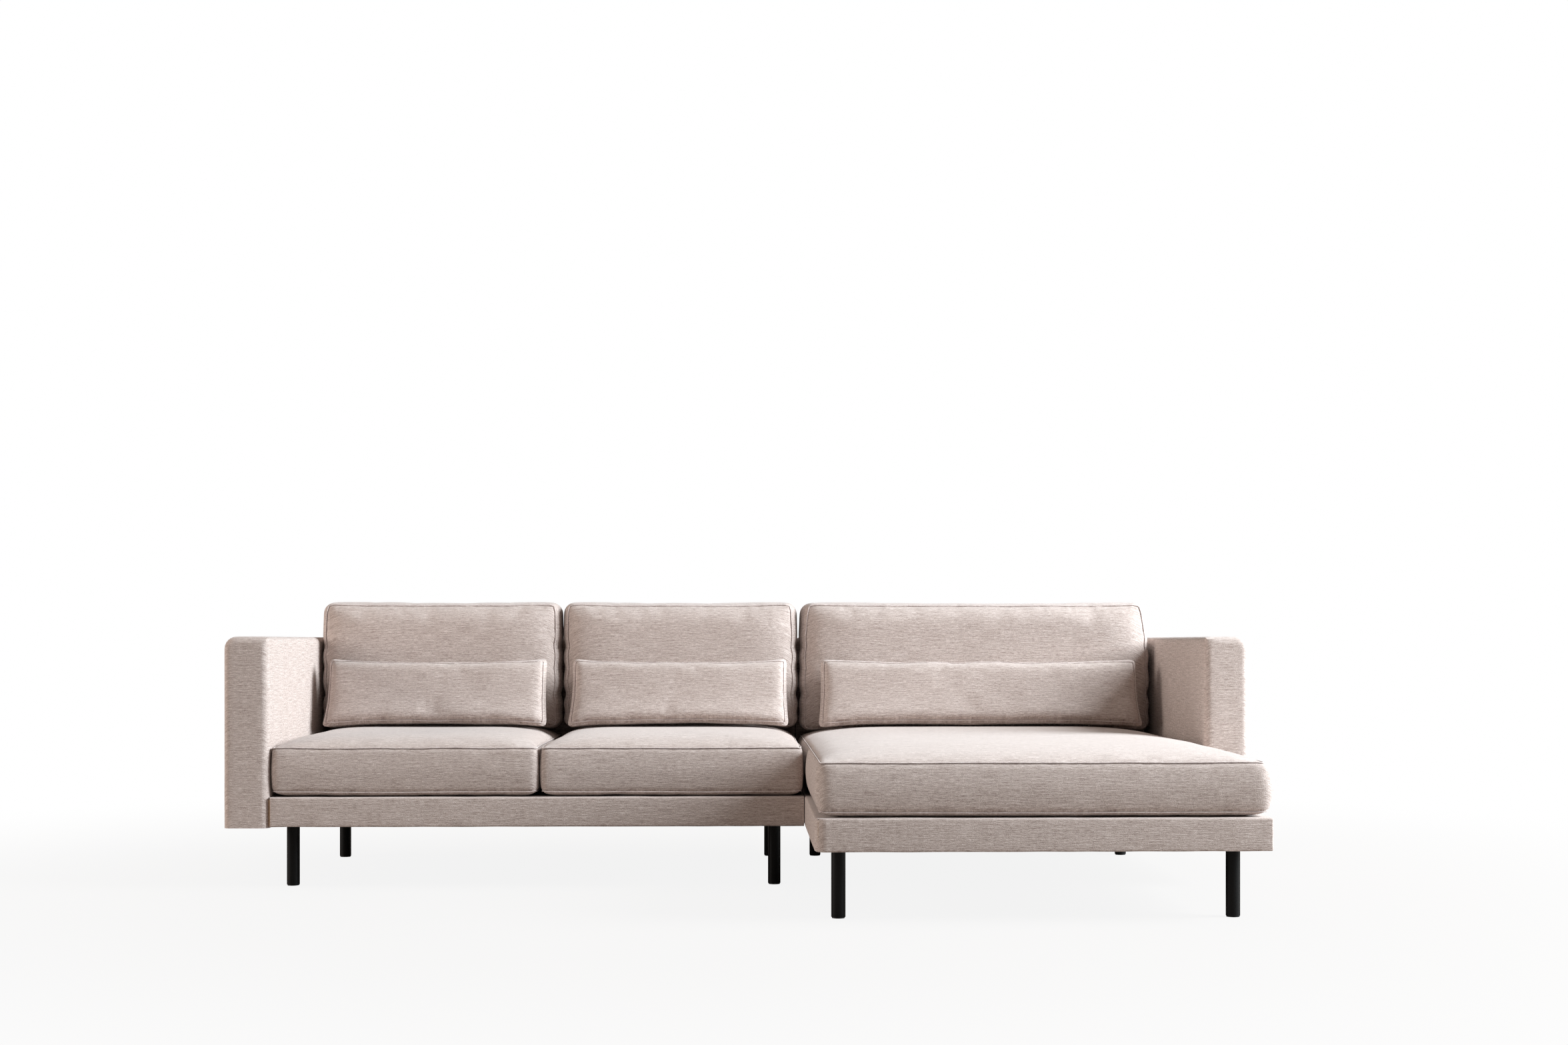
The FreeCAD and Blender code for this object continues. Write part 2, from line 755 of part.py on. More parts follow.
make_base_rails("main", timber_left, main_timber_end, main_timber_front)
make_base_rails("chaise", chaise_timber_end, timber_right, chaise_timber_front)
make_corner_blocks()
make_seat_webbing("main", timber_left, main_timber_end, main_timber_front)
make_seat_webbing("chaise", chaise_timber_end, timber_right, chaise_timber_front)
make_back_webbing("main", timber_left, main_timber_end)
make_back_webbing("chaise", chaise_timber_end, timber_right)
make_back_frame("main", timber_left, main_timber_end)
make_back_frame("chaise", chaise_timber_end, timber_right)
make_arm_frame("left", -1)
make_arm_frame("right", 1)
drill_bolted_rails()
make_bolts()
make_arm_cover("left", -1)
make_arm_cover("right", 1)
make_back_cover("main", left_inner, main_end)
make_back_cover("chaise", chaise_end, right_inner)
make_main_front_cover()
make_chaise_covers()
make_cloths()
make_legs()
make_connectors()
make_cushions()
write_parts()
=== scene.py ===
# %% [markdown]
# # A corner sofa, dressed around its frame
#
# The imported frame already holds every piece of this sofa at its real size: timber rails, webbing, legs,
# covers and plain cushions. This lesson keeps the hard pieces and gives them finishes, and swaps the plain
# soft pieces for sewn and padded ones. Everything is in metres, with X to the right, Y to the back and Z up.

import bpy
import numpy as np
from math import pi, radians
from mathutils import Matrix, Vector, noise
from mathutils.kdtree import KDTree


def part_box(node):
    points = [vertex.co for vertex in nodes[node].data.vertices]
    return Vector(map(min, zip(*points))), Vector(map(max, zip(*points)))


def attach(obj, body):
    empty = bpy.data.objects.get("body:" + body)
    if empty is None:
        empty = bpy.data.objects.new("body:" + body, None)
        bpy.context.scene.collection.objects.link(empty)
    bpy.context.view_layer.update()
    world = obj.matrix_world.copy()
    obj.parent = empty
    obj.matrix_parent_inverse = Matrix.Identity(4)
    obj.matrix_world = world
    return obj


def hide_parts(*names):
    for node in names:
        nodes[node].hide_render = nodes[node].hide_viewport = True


MM = 0.001
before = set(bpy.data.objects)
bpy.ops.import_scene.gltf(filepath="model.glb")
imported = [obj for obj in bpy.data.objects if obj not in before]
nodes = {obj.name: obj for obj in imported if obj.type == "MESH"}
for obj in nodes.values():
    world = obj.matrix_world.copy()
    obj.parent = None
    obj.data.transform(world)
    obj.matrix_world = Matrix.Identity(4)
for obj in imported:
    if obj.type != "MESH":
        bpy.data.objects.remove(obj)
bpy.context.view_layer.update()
scene = bpy.context.scene

# %% [markdown]
# ## Camera
#
# The photograph was taken from about the height of a table, level and almost square to the sofa. Its
# vertical edges stay parallel, so the camera isn't tilted: the shift moves the view up instead.

# %% Camera at the photograph's place
SENSOR_WIDTH_MM = 36.0
LENS_MM = 45.2
VIEW_SHIFT = 0.0768
CAMERA_PLACE = (-0.008, -5.664, 0.690)
CAMERA_TURN = radians(-1.412)

camera_data = bpy.data.cameras.new("camera")
camera_data.sensor_width = SENSOR_WIDTH_MM
camera_data.lens = LENS_MM
camera_data.shift_y = VIEW_SHIFT
camera = bpy.data.objects.new("camera", camera_data)
camera.location = CAMERA_PLACE
camera.rotation_euler = (radians(90), 0, CAMERA_TURN)
scene.collection.objects.link(camera)
scene.camera = camera
print("camera lens", LENS_MM, "mm")

# %% [markdown]
# ## Light and floor
#
# One large soft light stands high on the right, so cushion tops and faces turned to the right are almost
# white, and fronts stay in soft shade. A weak light on the left and a pale surround fill the rest. The
# floor is a pale disc that glows softly where the camera sees it, so that it runs into the background
# without a line and its shadows stay faint.

# %% Studio light
LIGHT_AIM = (0, 0, 0.4)


def area_light(name, place, size, watts, colour):
    """A square soft light at a place, turned to the sofa."""
    data = bpy.data.lights.new(name, "AREA")
    data.size = size
    data.energy = watts
    data.color = colour
    light = bpy.data.objects.new(name, data)
    light.location = place
    light.rotation_euler = (Vector(LIGHT_AIM) - Vector(place)).to_track_quat("-Z", "Y").to_euler()
    scene.collection.objects.link(light)


scene.view_settings.view_transform = "Standard"
scene.view_settings.look = "None"
area_light("key_light", place=(7.2, -1.45, 4.0), size=4.6, watts=1820, colour=(0.86, 0.945, 1.0))
area_light("left_light", place=(-6.4, -1.0, 2.0), size=3.0, watts=230, colour=(1.0, 0.92, 0.86))


# %% Node helpers
def node(tree, kind, inputs=None, **settings):
    """Adds a shader node with its settings. Each input is a value, or another node's output to link."""
    made = tree.nodes.new(kind)
    for key, value in settings.items():
        setattr(made, key, value)
    for key, value in (inputs or {}).items():
        if isinstance(value, bpy.types.NodeSocket):
            tree.links.new(value, made.inputs[key])
        else:
            made.inputs[key].default_value = value
    return made


def calculate(tree, operation, *inputs):
    """The outcome of one operation on numbers or outputs."""
    return node(tree, "ShaderNodeMath", dict(enumerate(inputs)), operation=operation).outputs[0]


def start_material(name):
    """A new material with its node tree and its shader."""
    material = bpy.data.materials.new(name)
    material.use_nodes = True
    return material, material.node_tree, material.node_tree.nodes["Principled BSDF"]


# %% Pale surround
WHITE = (1, 1, 1, 1)
FILL_COLOUR = (1.0, 0.905, 0.84, 1)
FILL_STRENGTH = 0.246

world = bpy.data.worlds.new("studio")
scene.world = world
world.use_nodes = True
sky = world.node_tree
fill = sky.nodes["Background"]
fill.inputs["Color"].default_value = FILL_COLOUR
fill.inputs["Strength"].default_value = FILL_STRENGTH
backdrop = node(sky, "ShaderNodeBackground", {"Color": WHITE, "Strength": 1.0})
camera_ray = node(sky, "ShaderNodeLightPath").outputs["Is Camera Ray"]
surround = node(sky, "ShaderNodeMixShader", {0: camera_ray, 1: fill.outputs[0], 2: backdrop.outputs[0]})
sky.links.new(surround.outputs[0], sky.nodes["World Output"].inputs["Surface"])
print("fill strength", FILL_STRENGTH)

# %% Floor
FLOOR_RADIUS = 14.0
FLOOR_CORNERS = 96
FLOOR_DROP = 0.5 * MM
FLOOR_COLOUR = (0.29, 0.25, 0.225, 1)
GLOW_SHARE_NEAR = 0.885
GLOW_RISE_FROM = 1.2
GLOW_FULL_FROM = 4.0

bpy.ops.object.select_all(action="DESELECT")
bpy.ops.mesh.primitive_circle_add(vertices=FLOOR_CORNERS, radius=FLOOR_RADIUS, fill_type="NGON",
                                  location=(0, 0, -FLOOR_DROP))
floor = bpy.context.object
floor.name = "floor"
paper, tree, shader = start_material("pale_floor")
shader.inputs["Base Color"].default_value = FLOOR_COLOUR
shader.inputs["Roughness"].default_value = 0.8
place = node(tree, "ShaderNodeTexCoord").outputs["Object"]
away = node(tree, "ShaderNodeVectorMath", {0: place}, operation="LENGTH").outputs["Value"]
glow_span = {"Value": away, "From Min": GLOW_RISE_FROM, "From Max": GLOW_FULL_FROM, "To Min": GLOW_SHARE_NEAR}
glow_share = node(tree, "ShaderNodeMapRange", glow_span, interpolation_type="SMOOTHSTEP").outputs["Result"]
camera_ray = node(tree, "ShaderNodeLightPath").outputs["Is Camera Ray"]
glow_share = calculate(tree, "MULTIPLY", glow_share, camera_ray)
glow = node(tree, "ShaderNodeEmission", {"Color": WHITE, "Strength": 1.0})
blend = node(tree, "ShaderNodeMixShader", {0: glow_share, 1: shader.outputs[0], 2: glow.outputs[0]})
tree.links.new(blend.outputs[0], tree.nodes["Material Output"].inputs["Surface"])
floor.data.materials.append(paper)
print("floor radius", FLOOR_RADIUS, "m")

# %% [markdown]
# ## The woven fabric
#
# The cover is a flat weave of mixed yarns: short, darker and lighter slubs lie along the weft, a few
# millimetres thick and a few centimetres long, over a fine grid of threads. A picture of the cloth could be
# wrapped on, but noise that is stretched along the weft gives the same look at every distance and never
# repeats. The weft runs level on every panel: along X on fronts and tops, and along Y on faces turned
# sideways, so the pattern picks its directions from the surface's own normal. Height plus depth is the way
# across the weft on fronts and tops alike, so that the weave runs over a front edge without a break.

# %% Directions and yarns
SIDEWAYS = 0.72


def panel_coordinates(tree):
    """Metres along the weft and across it, on whichever side of the piece the point lies."""
    coordinates = node(tree, "ShaderNodeTexCoord").outputs
    x, y, z = node(tree, "ShaderNodeSeparateXYZ", {0: coordinates["Object"]}).outputs
    facing = node(tree, "ShaderNodeVectorMath", {0: coordinates["Normal"]}, operation="ABSOLUTE").outputs[0]
    facing_x = node(tree, "ShaderNodeSeparateXYZ", {0: facing}).outputs["X"]
    sideways = calculate(tree, "GREATER_THAN", facing_x, SIDEWAYS)
    along = node(tree, "ShaderNodeMix", {"Factor": sideways, "A": x, "B": y}).outputs["Result"]
    over = calculate(tree, "ADD", z, y)
    across = node(tree, "ShaderNodeMix", {"Factor": sideways, "A": over, "B": z}).outputs["Result"]
    return along, across


def stretched_noise(tree, along, across, per_metre, detail):
    """Noise whose specks are longer along the weft than across it. per_metre counts them both ways."""
    u = calculate(tree, "MULTIPLY", along, per_metre[0])
    v = calculate(tree, "MULTIPLY", across, per_metre[1])
    both = node(tree, "ShaderNodeCombineXYZ", {"X": u, "Y": v}).outputs[0]
    inputs = {"Vector": both, "Scale": 1.0, "Detail": detail, "Roughness": 0.6}
    return node(tree, "ShaderNodeTexNoise", inputs, noise_dimensions="2D").outputs["Fac"]


def threads(tree, distance, pitch):
    """A rounded wave for each thread of one direction."""
    return calculate(tree, "SINE", calculate(tree, "MULTIPLY", distance, 2 * pi / pitch))


def weighted(tree, first, first_weight, second, second_weight):
    """A sum of two values, each times its weight."""
    first_part = calculate(tree, "MULTIPLY", first, first_weight)
    return calculate(tree, "MULTIPLY_ADD", second, second_weight, first_part)


def colour_ramp(tree, value, stops):
    """The colour that belongs to a value. stops holds pairs of a value and a colour, the lowest first."""
    ramp = node(tree, "ShaderNodeValToRGB", {"Fac": value})
    elements = ramp.color_ramp.elements
    for i in range(len(stops) - 2):
        elements.new(0.5)
    for element, (at, colour) in zip(elements, stops):
        element.position = at
        element.color = (*colour, 1)
    return ramp.outputs["Color"]


def add_bump(tree, shader, height, strength, distance):
    """Lets a value from 0 to 1 stand up from the surface by a distance."""
    bump = node(tree, "ShaderNodeBump", {"Height": height, "Strength": strength, "Distance": distance})
    tree.links.new(bump.outputs["Normal"], shader.inputs["Normal"])


# %% Fabric material
DRIFT_PER_METRE = (9, 11)
DRIFT_WAY = 9 * MM
YARNS_PER_METRE = (17, 370)
SLUBS_PER_METRE = (75, 470)
SPECKS_PER_METRE = (380, 600)
YARN_SHARE = 0.36
SPECK_SHARE = 0.36
WEFT_PITCH = 2.4 * MM
WARP_PITCH = 2.0 * MM
WEFT_WEIGHT, WARP_WEIGHT = 0.5, 0.3
WEAVE_WEIGHT, TONE_WEIGHT = 0.25, 1.6
WEAVE_STRENGTH, WEAVE_HEIGHT = 0.55, 1.2 * MM
FABRIC_SHINE = {"Roughness": 0.92, "Specular IOR Level": 0.25, "Sheen Weight": 0.22, "Sheen Roughness": 0.5}


def woven_fabric(name, dark, middle, light):
    """A melange weave in three tones."""
    material, tree, shader = start_material(name)
    along, across = panel_coordinates(tree)
    drift = stretched_noise(tree, along, across, DRIFT_PER_METRE, 1.0)
    across = weighted(tree, across, 1.0, drift, DRIFT_WAY)
    yarns = stretched_noise(tree, along, across, YARNS_PER_METRE, 0.0)
    slubs = stretched_noise(tree, along, across, SLUBS_PER_METRE, 1.0)
    specks = stretched_noise(tree, along, across, SPECKS_PER_METRE, 1.0)
    tone = weighted(tree, yarns, YARN_SHARE, slubs, 1 - YARN_SHARE)
    tone = weighted(tree, tone, 1 - SPECK_SHARE, specks, SPECK_SHARE)
    colour = colour_ramp(tree, tone, ((0.3, dark), (0.5, middle), (0.7, light)))
    tree.links.new(colour, shader.inputs["Base Color"])
    weft = threads(tree, across, WEFT_PITCH)
    warp = threads(tree, along, WARP_PITCH)
    weave = weighted(tree, weft, WEFT_WEIGHT, warp, WARP_WEIGHT)
    relief = weighted(tree, weave, WEAVE_WEIGHT, tone, TONE_WEIGHT)
    add_bump(tree, shader, relief, WEAVE_STRENGTH, WEAVE_HEIGHT)
    for key, value in FABRIC_SHINE.items():
        shader.inputs[key].default_value = value
    return material


upholstery = woven_fabric("upholstery", (0.325, 0.252, 0.223), (0.52, 0.43, 0.39), (0.715, 0.622, 0.58))
# Painted highlight: the piping is the cover cloth made lighter, so that each welt reads as a lit line.
piping_painted_highlight = woven_fabric("piping_painted_highlight", (0.40, 0.32, 0.30), (0.60, 0.51, 0.48), (0.80, 0.72, 0.69))
deck_fabric = woven_fabric("deck_fabric", (0.10, 0.085, 0.08), (0.15, 0.13, 0.12), (0.22, 0.19, 0.18))
print("fabrics", upholstery.name, piping_painted_highlight.name, deck_fabric.name)

# %% [markdown]
# ## Plain finishes
#
# The inner pieces are seldom seen, but a look from below or at a lifted cushion shows them: pine with its
# grain along each rail, brown hardboard and webbing, black non-woven dust cloth, zinc-plated steel, and
# satin black paint on the legs. None is one flat colour: fine noise mixes each from two, and gives most of
# them their relief.


# %% Mottled finish
def mottled(name, colours, roughness, grain, bump=None, stretch=(1, 1, 1), metallic=0.0):
    """A finish mixed by noise. colours holds its low, plain and high colour, grain the noise's scale and
    detail, and bump its strength and height. The grain runs along the axis that is stretched least."""
    low, plain, high = colours
    scale, detail = grain
    material, tree, shader = start_material(name)
    shader.inputs["Base Color"].default_value = (*plain, 1)
    shader.inputs["Roughness"].default_value = roughness
    shader.inputs["Metallic"].default_value = metallic
    place = node(tree, "ShaderNodeTexCoord").outputs["Object"]
    mapped = node(tree, "ShaderNodeMapping", {"Vector": place, "Scale": stretch}).outputs["Vector"]
    inputs = {"Vector": mapped, "Scale": scale, "Detail": detail}
    mix = node(tree, "ShaderNodeTexNoise", inputs).outputs["Fac"]
    tree.links.new(colour_ramp(tree, mix, ((0.35, low), (0.65, high))), shader.inputs["Base Color"])
    if bump:
        add_bump(tree, shader, mix, *bump)
    return material


def greys(*values):
    return [(value, value, value) for value in values]


PINE = ((0.50, 0.31, 0.15), (0.66, 0.46, 0.25), (0.74, 0.55, 0.33))
timber_x = mottled("pine_along_x", PINE, 0.7, (60, 4.0), (0.3, 0.5 * MM), stretch=(0.06, 1, 1))
timber_y = mottled("pine_along_y", PINE, 0.7, (60, 4.0), (0.3, 0.5 * MM), stretch=(1, 0.06, 1))
hardboard = mottled("hardboard", ((0.15, 0.08, 0.04), (0.21, 0.115, 0.06), (0.27, 0.155, 0.085)),
                    0.65, (420, 4.0), (0.4, 0.3 * MM))
webbing = mottled("webbing", ((0.13, 0.08, 0.04), (0.20, 0.13, 0.07), (0.30, 0.20, 0.11)),
                  0.85, (900, 1.0), (0.6, 0.6 * MM))
dust_cloth = mottled("dust_cloth", greys(0.008, 0.012, 0.03), 0.95, (700, 2.0), (0.5, 0.3 * MM))
zinc = mottled("zinc_steel", ((0.45, 0.46, 0.47), (0.55, 0.56, 0.56), (0.62, 0.63, 0.62)),
               0.35, (300, 2.0), (0.15, 0.2 * MM), metallic=1.0)
leg_paint = mottled("leg_paint", greys(0.004, 0.005, 0.007), 0.34, (500, 1.0), (0.08, 0.2 * MM))
leg_paint.node_tree.nodes["Principled BSDF"].inputs["Specular IOR Level"].default_value = 0.16
# Painted shade: a dark cord colour that stands for the shade in the crease under each seat's top seam.
crease_painted_shade = mottled("crease_painted_shade", ((0.16, 0.12, 0.105), (0.22, 0.17, 0.155), (0.28, 0.22, 0.20)),
                        0.9, (500, 1.0))
glide_plastic = mottled("glide_plastic", greys(0.010, 0.012, 0.02), 0.6, (600, 1.0))
print("finishes", sorted(m.name for m in bpy.data.materials))


# %% Dress the nodes that stay
FINISHES = (
    ("_leg", leg_paint),
    ("leg_glides", glide_plastic),
    (("arm_bolts", "connector_straps", "connector_tongues"), zinc),
    ("_webbing", webbing),
    (("dust_cover", "dust_strips"), dust_cloth),
    ("deck_cloth", deck_fabric),
    ("_panels", hardboard),
    (("left_rail", "right_rail", "cross_rail", "arm_frame", "leg_corner_blocks"), timber_y),
    (("front_rail", "rear_rail", "back_frame"), timber_x),
)


def finish_for(name):
    """The finish of a node, by how its name ends, and fabric for every other one."""
    return next((finish for endings, finish in FINISHES if name.endswith(endings)), upholstery)


for name, piece in nodes.items():
    piece.data.materials.clear()
    piece.data.materials.append(finish_for(name))
print("dressed", len(nodes), "nodes")

# %% [markdown]
# ## Working by hand in code
#
# Each new piece starts as a primitive at its size and place. Its edges and faces are picked by where they
# lie, and the operators of edit mode shape them. These helpers start a piece, pick its parts and finish it.


# %% Start a piece and pick its parts
def select_only(*pieces):
    """Selects these pieces alone, with the first one active."""
    bpy.ops.object.select_all(action="DESELECT")
    for piece in pieces:
        piece.select_set(True)
    bpy.context.view_layer.objects.active = pieces[0]


def start_box(name, low, high):
    """A box between two corners, alone in the selection, with its place in its mesh."""
    bpy.ops.object.select_all(action="DESELECT")
    centre = (Vector(low) + Vector(high)) / 2
    bpy.ops.mesh.primitive_cube_add(size=1, location=centre, scale=Vector(high) - Vector(low))
    bpy.ops.object.transform_apply(location=True, rotation=True, scale=True)
    piece = bpy.context.object
    piece.name = name
    piece.data.name = name
    return piece


def clear_picks(kind):
    """Deselects every part of the active piece, and says which kind is picked next."""
    bpy.ops.object.mode_set(mode="EDIT")
    bpy.ops.mesh.select_mode(type=kind)
    bpy.ops.mesh.select_all(action="DESELECT")
    bpy.ops.object.mode_set(mode="OBJECT")


def pick_edges(piece, wanted):
    """Selects the edges whose middle and direction pass the test, and enters edit mode."""
    clear_picks("EDGE")
    for edge in piece.data.edges:
        a, b = (piece.data.vertices[i].co for i in edge.vertices)
        edge.select = wanted((a + b) / 2, (b - a).normalized())
    bpy.ops.object.mode_set(mode="EDIT")


def pick_faces(piece, wanted):
    """Selects the faces whose centre and normal pass the test, and enters edit mode."""
    clear_picks("FACE")
    for face in piece.data.polygons:
        face.select = wanted(face.center, face.normal)
    bpy.ops.object.mode_set(mode="EDIT")


# %% Read, move and finish a piece
NEAR = 0.5 * MM


def near(a, b):
    return abs(a - b) < NEAR


def coordinates(piece):
    points = np.empty(len(piece.data.vertices) * 3)
    piece.data.vertices.foreach_get("co", points)
    return points.reshape(-1, 3)


def set_coordinates(piece, points):
    piece.data.vertices.foreach_set("co", np.ascontiguousarray(points, dtype=np.float64).ravel())
    piece.data.update()


def noise_offset(seed, steps):
    """A place in the noise for each seed, so that no two pieces share their waves."""
    return Vector([seed * step for step in steps])


def finish_piece(piece, material, slot, body, *replaced):
    """Gives a piece its finish and its body, and hides the nodes that it stands for. The slot is not used."""
    bpy.ops.object.mode_set(mode="OBJECT")
    piece.data.materials.clear()
    piece.data.materials.append(material)
    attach(piece, body)
    if replaced:
        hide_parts(*replaced)
    print(piece.name, len(piece.data.polygons), "faces")


# %% [markdown]
# ## Padded covers
#
# Arms, low backs and rails are timber under thin foam, with the cloth pulled tight over it. Each cover is a
# shell: a box with its edges rolled over by a bevel, cut into a grid, with its hidden side opened, waved by
# less than a millimetre as cloth over foam is, and given its wall inwards.

# %% Grid and waves
RIPPLE_SIZE = 90 * MM
RIPPLE_STEPS = (7.3, 1.7, 3.1)


def cut_grid(piece, low, high, spacing, cuts):
    """Cuts a piece across each axis in even steps, and along the cuts, each an axis and a place."""
    planes = list(cuts)
    for axis in range(3):
        count = max(1, round((high[axis] - low[axis]) / spacing))
        planes += [(axis, low[axis] + (high[axis] - low[axis]) * i / count) for i in range(1, count)]
    for axis, level in planes:
        place, normal = Vector((0, 0, 0)), Vector((0, 0, 0))
        place[axis] = level
        normal[axis] = 1
        bpy.ops.object.mode_set(mode="EDIT")
        bpy.ops.mesh.select_all(action="SELECT")
        bpy.ops.mesh.bisect(plane_co=place, plane_no=normal)
    bpy.ops.object.mode_set(mode="OBJECT")


def ripple(piece, height, seed):
    """Moves each point along its normal by soft seeded noise."""
    offset = noise_offset(seed, RIPPLE_STEPS)
    for vertex in piece.data.vertices:
        vertex.co += vertex.normal * height * noise.noise(vertex.co / RIPPLE_SIZE + offset)


# %% Shell maker
COVER_GRID = 30 * MM
COVER_WAVE = 0.8 * MM
ROLL_SEGMENTS = 6
COVER_SMOOTH = radians(50)


def padded_shell(name, low, high, rolls, opened, wall, seed, wave=COVER_WAVE, cuts=()):
    """A rolled-edge shell. rolls holds (radius, test of edges); opened tests the faces that are left out."""
    piece = start_box(name, low, high)
    for radius, wanted in rolls:
        pick_edges(piece, wanted)
        bpy.ops.mesh.bevel(offset=radius, segments=ROLL_SEGMENTS, profile=0.5, affect="EDGES")
    bpy.ops.object.mode_set(mode="OBJECT")
    cut_grid(piece, low, high, COVER_GRID, cuts)
    pick_faces(piece, opened)
    bpy.ops.mesh.delete(type="FACE")
    bpy.ops.object.mode_set(mode="OBJECT")
    ripple(piece, wave, seed)
    bpy.ops.object.mode_set(mode="EDIT")
    bpy.ops.mesh.select_all(action="SELECT")
    bpy.ops.mesh.normals_make_consistent(inside=False)
    bpy.ops.object.mode_set(mode="OBJECT")
    solidify = piece.modifiers.new("wall", "SOLIDIFY")
    solidify.thickness = wall
    solidify.offset = -1
    bpy.ops.object.modifier_apply(modifier="wall")
    bpy.ops.object.shade_smooth_by_angle(angle=COVER_SMOOTH)
    return piece


# %% Arm covers
OUTER_ROLL = 34 * MM
EDGE_ROLL = 20 * MM
RETURN_DEPTH = 40 * MM
ARM_WALL = 11 * MM
ARM_WAVE = 0.4 * MM
DECK_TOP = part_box("main_front_cover")[1][2]
FACING = 0.9
MARGIN = 1 * MM


def arm_cover(side, sign, swell, seed):
    """The sleeve of one arm: open below, and its inner wall ends at the deck but for a return at the front.
    The swell moves the left arm's inner face, or the right arm's outer one."""
    node_name = side + "_arm_cover"
    low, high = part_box(node_name)
    front, top = low[1], high[2]
    high[0] += swell
    outer, inner = (high[0], low[0]) if sign > 0 else (low[0], high[0])
    rolls = [
        (OUTER_ROLL, lambda at, way: near(at.x, outer) and near(at.z, top)),
        (EDGE_ROLL, lambda at, way: near(at.y, front) and at.z > low[2] + MARGIN),
        (EDGE_ROLL, lambda at, way: near(at.x, inner) and near(at.z, top)),
    ]

    def opened(at, normal):
        beside_deck = at.z < DECK_TOP and at.y > front + RETURN_DEPTH
        return normal.z < -FACING or normal.x * sign < -FACING and beside_deck

    piece = padded_shell(side + "_arm", low, high, rolls, opened, ARM_WALL, seed, ARM_WAVE,
                         [(2, DECK_TOP), (1, front + RETURN_DEPTH)])
    finish_piece(piece, upholstery, "upholstery", "frame", node_name)


arm_cover("left", -1, swell=6 * MM, seed=1)
arm_cover("right", 1, swell=5 * MM, seed=2)

# %% Low backs
BACK_ROLL = 16 * MM
BACK_WALL = 10 * MM


def back_cover(name, seed):
    """The sleeve of one low back, rolled over at the top and open below."""
    node_name = name + "_cover"
    low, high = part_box(node_name)
    rolls = [(BACK_ROLL, lambda at, way: near(at.z, high[2]))]
    piece = padded_shell(name, low, high, rolls, lambda at, normal: normal.z < -FACING, BACK_WALL, seed)
    finish_piece(piece, upholstery, "upholstery", "frame", node_name)


back_cover("main_back", seed=3)
back_cover("chaise_back", seed=4)

# %% [markdown]
# The rails of the two bases are wrapped in one piece of cloth each, folded over the deck above and under
# the rail below. The chaise's wrap runs round its free corner in a soft curve, and along both sides.

# %% Wrap of the main base
RAIL_ROLL = 5 * MM
CORNER_ROLL = 28 * MM
FOLD_ABOVE = 60 * MM
FOLD_BELOW = 20 * MM
WRAP_WALL = 1.8 * MM
GAP_TO_ARM = 9 * MM


def base_wrap(name, low, high, rolls, opened, seed, replaced, cuts=()):
    """The cloth round a base's rails, cut where its folds end, without the faces that opened names."""
    cuts = [*cuts, (1, low[1] + FOLD_ABOVE), (1, low[1] + FOLD_BELOW)]
    piece = padded_shell(name, low, high, rolls, opened, WRAP_WALL, seed, cuts=cuts)
    finish_piece(piece, upholstery, "upholstery", "frame", *replaced)


main_low, main_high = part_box("main_front_cover")
main_low[0] += GAP_TO_ARM
main_rolls = [(RAIL_ROLL, lambda at, way: near(at.y, main_low[1]) and at.x < main_high[0] - MARGIN)]


def main_wrap_open(at, normal):
    """Behind, and past the fold below."""
    return normal.y > FACING or normal.z < -FACING and at.y > main_low[1] + FOLD_BELOW


base_wrap("main_front", main_low, main_high, main_rolls, main_wrap_open, 5, ["main_front_cover"])

# %% Wrap of the chaise base
WRAP_SWELL = 4 * MM

chaise_low, chaise_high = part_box("chaise_front_cover")
left_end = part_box("chaise_left_cover")[1][1]
right_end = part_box("chaise_right_cover")[1][1]
chaise_high[1] = left_end
chaise_high[0] += WRAP_SWELL


def upright(way):
    return abs(way.z) > 0.5


def chaise_wrap_open(at, normal):
    """Behind, past the folds, and where the right arm covers the side."""
    inward = min(at.y - chaise_low[1], at.x - chaise_low[0], chaise_high[0] - at.x)
    if normal.y > FACING or normal.x > FACING and at.y > right_end:
        return True
    beside_arm = at.y > right_end and at.x > chaise_high[0] - FOLD_ABOVE
    if normal.z > FACING:
        return inward > FOLD_ABOVE or beside_arm
    return normal.z < -FACING and (inward > FOLD_BELOW or beside_arm)


chaise_cuts = [(0, chaise_low[0] + FOLD_ABOVE), (0, chaise_low[0] + FOLD_BELOW), (1, right_end),
               (0, chaise_high[0] - FOLD_ABOVE), (0, chaise_high[0] - FOLD_BELOW)]
chaise_rolls = [
    (CORNER_ROLL, lambda at, way: near(at.y, chaise_low[1]) and near(at.x, chaise_low[0]) and upright(way)),
    (RAIL_ROLL, lambda at, way: near(at.y, chaise_low[1]) and near(at.x, chaise_high[0]) and upright(way)),
    (RAIL_ROLL, lambda at, way: (near(at.z, chaise_low[2]) or near(at.z, chaise_high[2]))
     and not (near(at.y, chaise_high[1]) and abs(way.x) > 0.5)),
]
base_wrap("chaise_front", chaise_low, chaise_high, chaise_rolls, chaise_wrap_open, 6,
          ["chaise_front_cover", "chaise_left_cover", "chaise_right_cover"], chaise_cuts)

# %% [markdown]
# ## Screws of the leg plates
#
# Each leg is a steel tube with a square plate on top, held to the timber by four pan-head screws. They are
# small and only seen from below, so one is modelled with its rounded rim and crossed recess, and then
# copied to every corner of every plate.

# %% Model one screw
SCREW_RADIUS = 4.5 * MM
SCREW_HEIGHT = 2.2 * MM
SCREW_RIM = 1.1 * MM
SLOT_WIDTH = 1.2 * MM
SLOT_LENGTH = 5.0 * MM
SLOT_DEPTH = 1.0 * MM


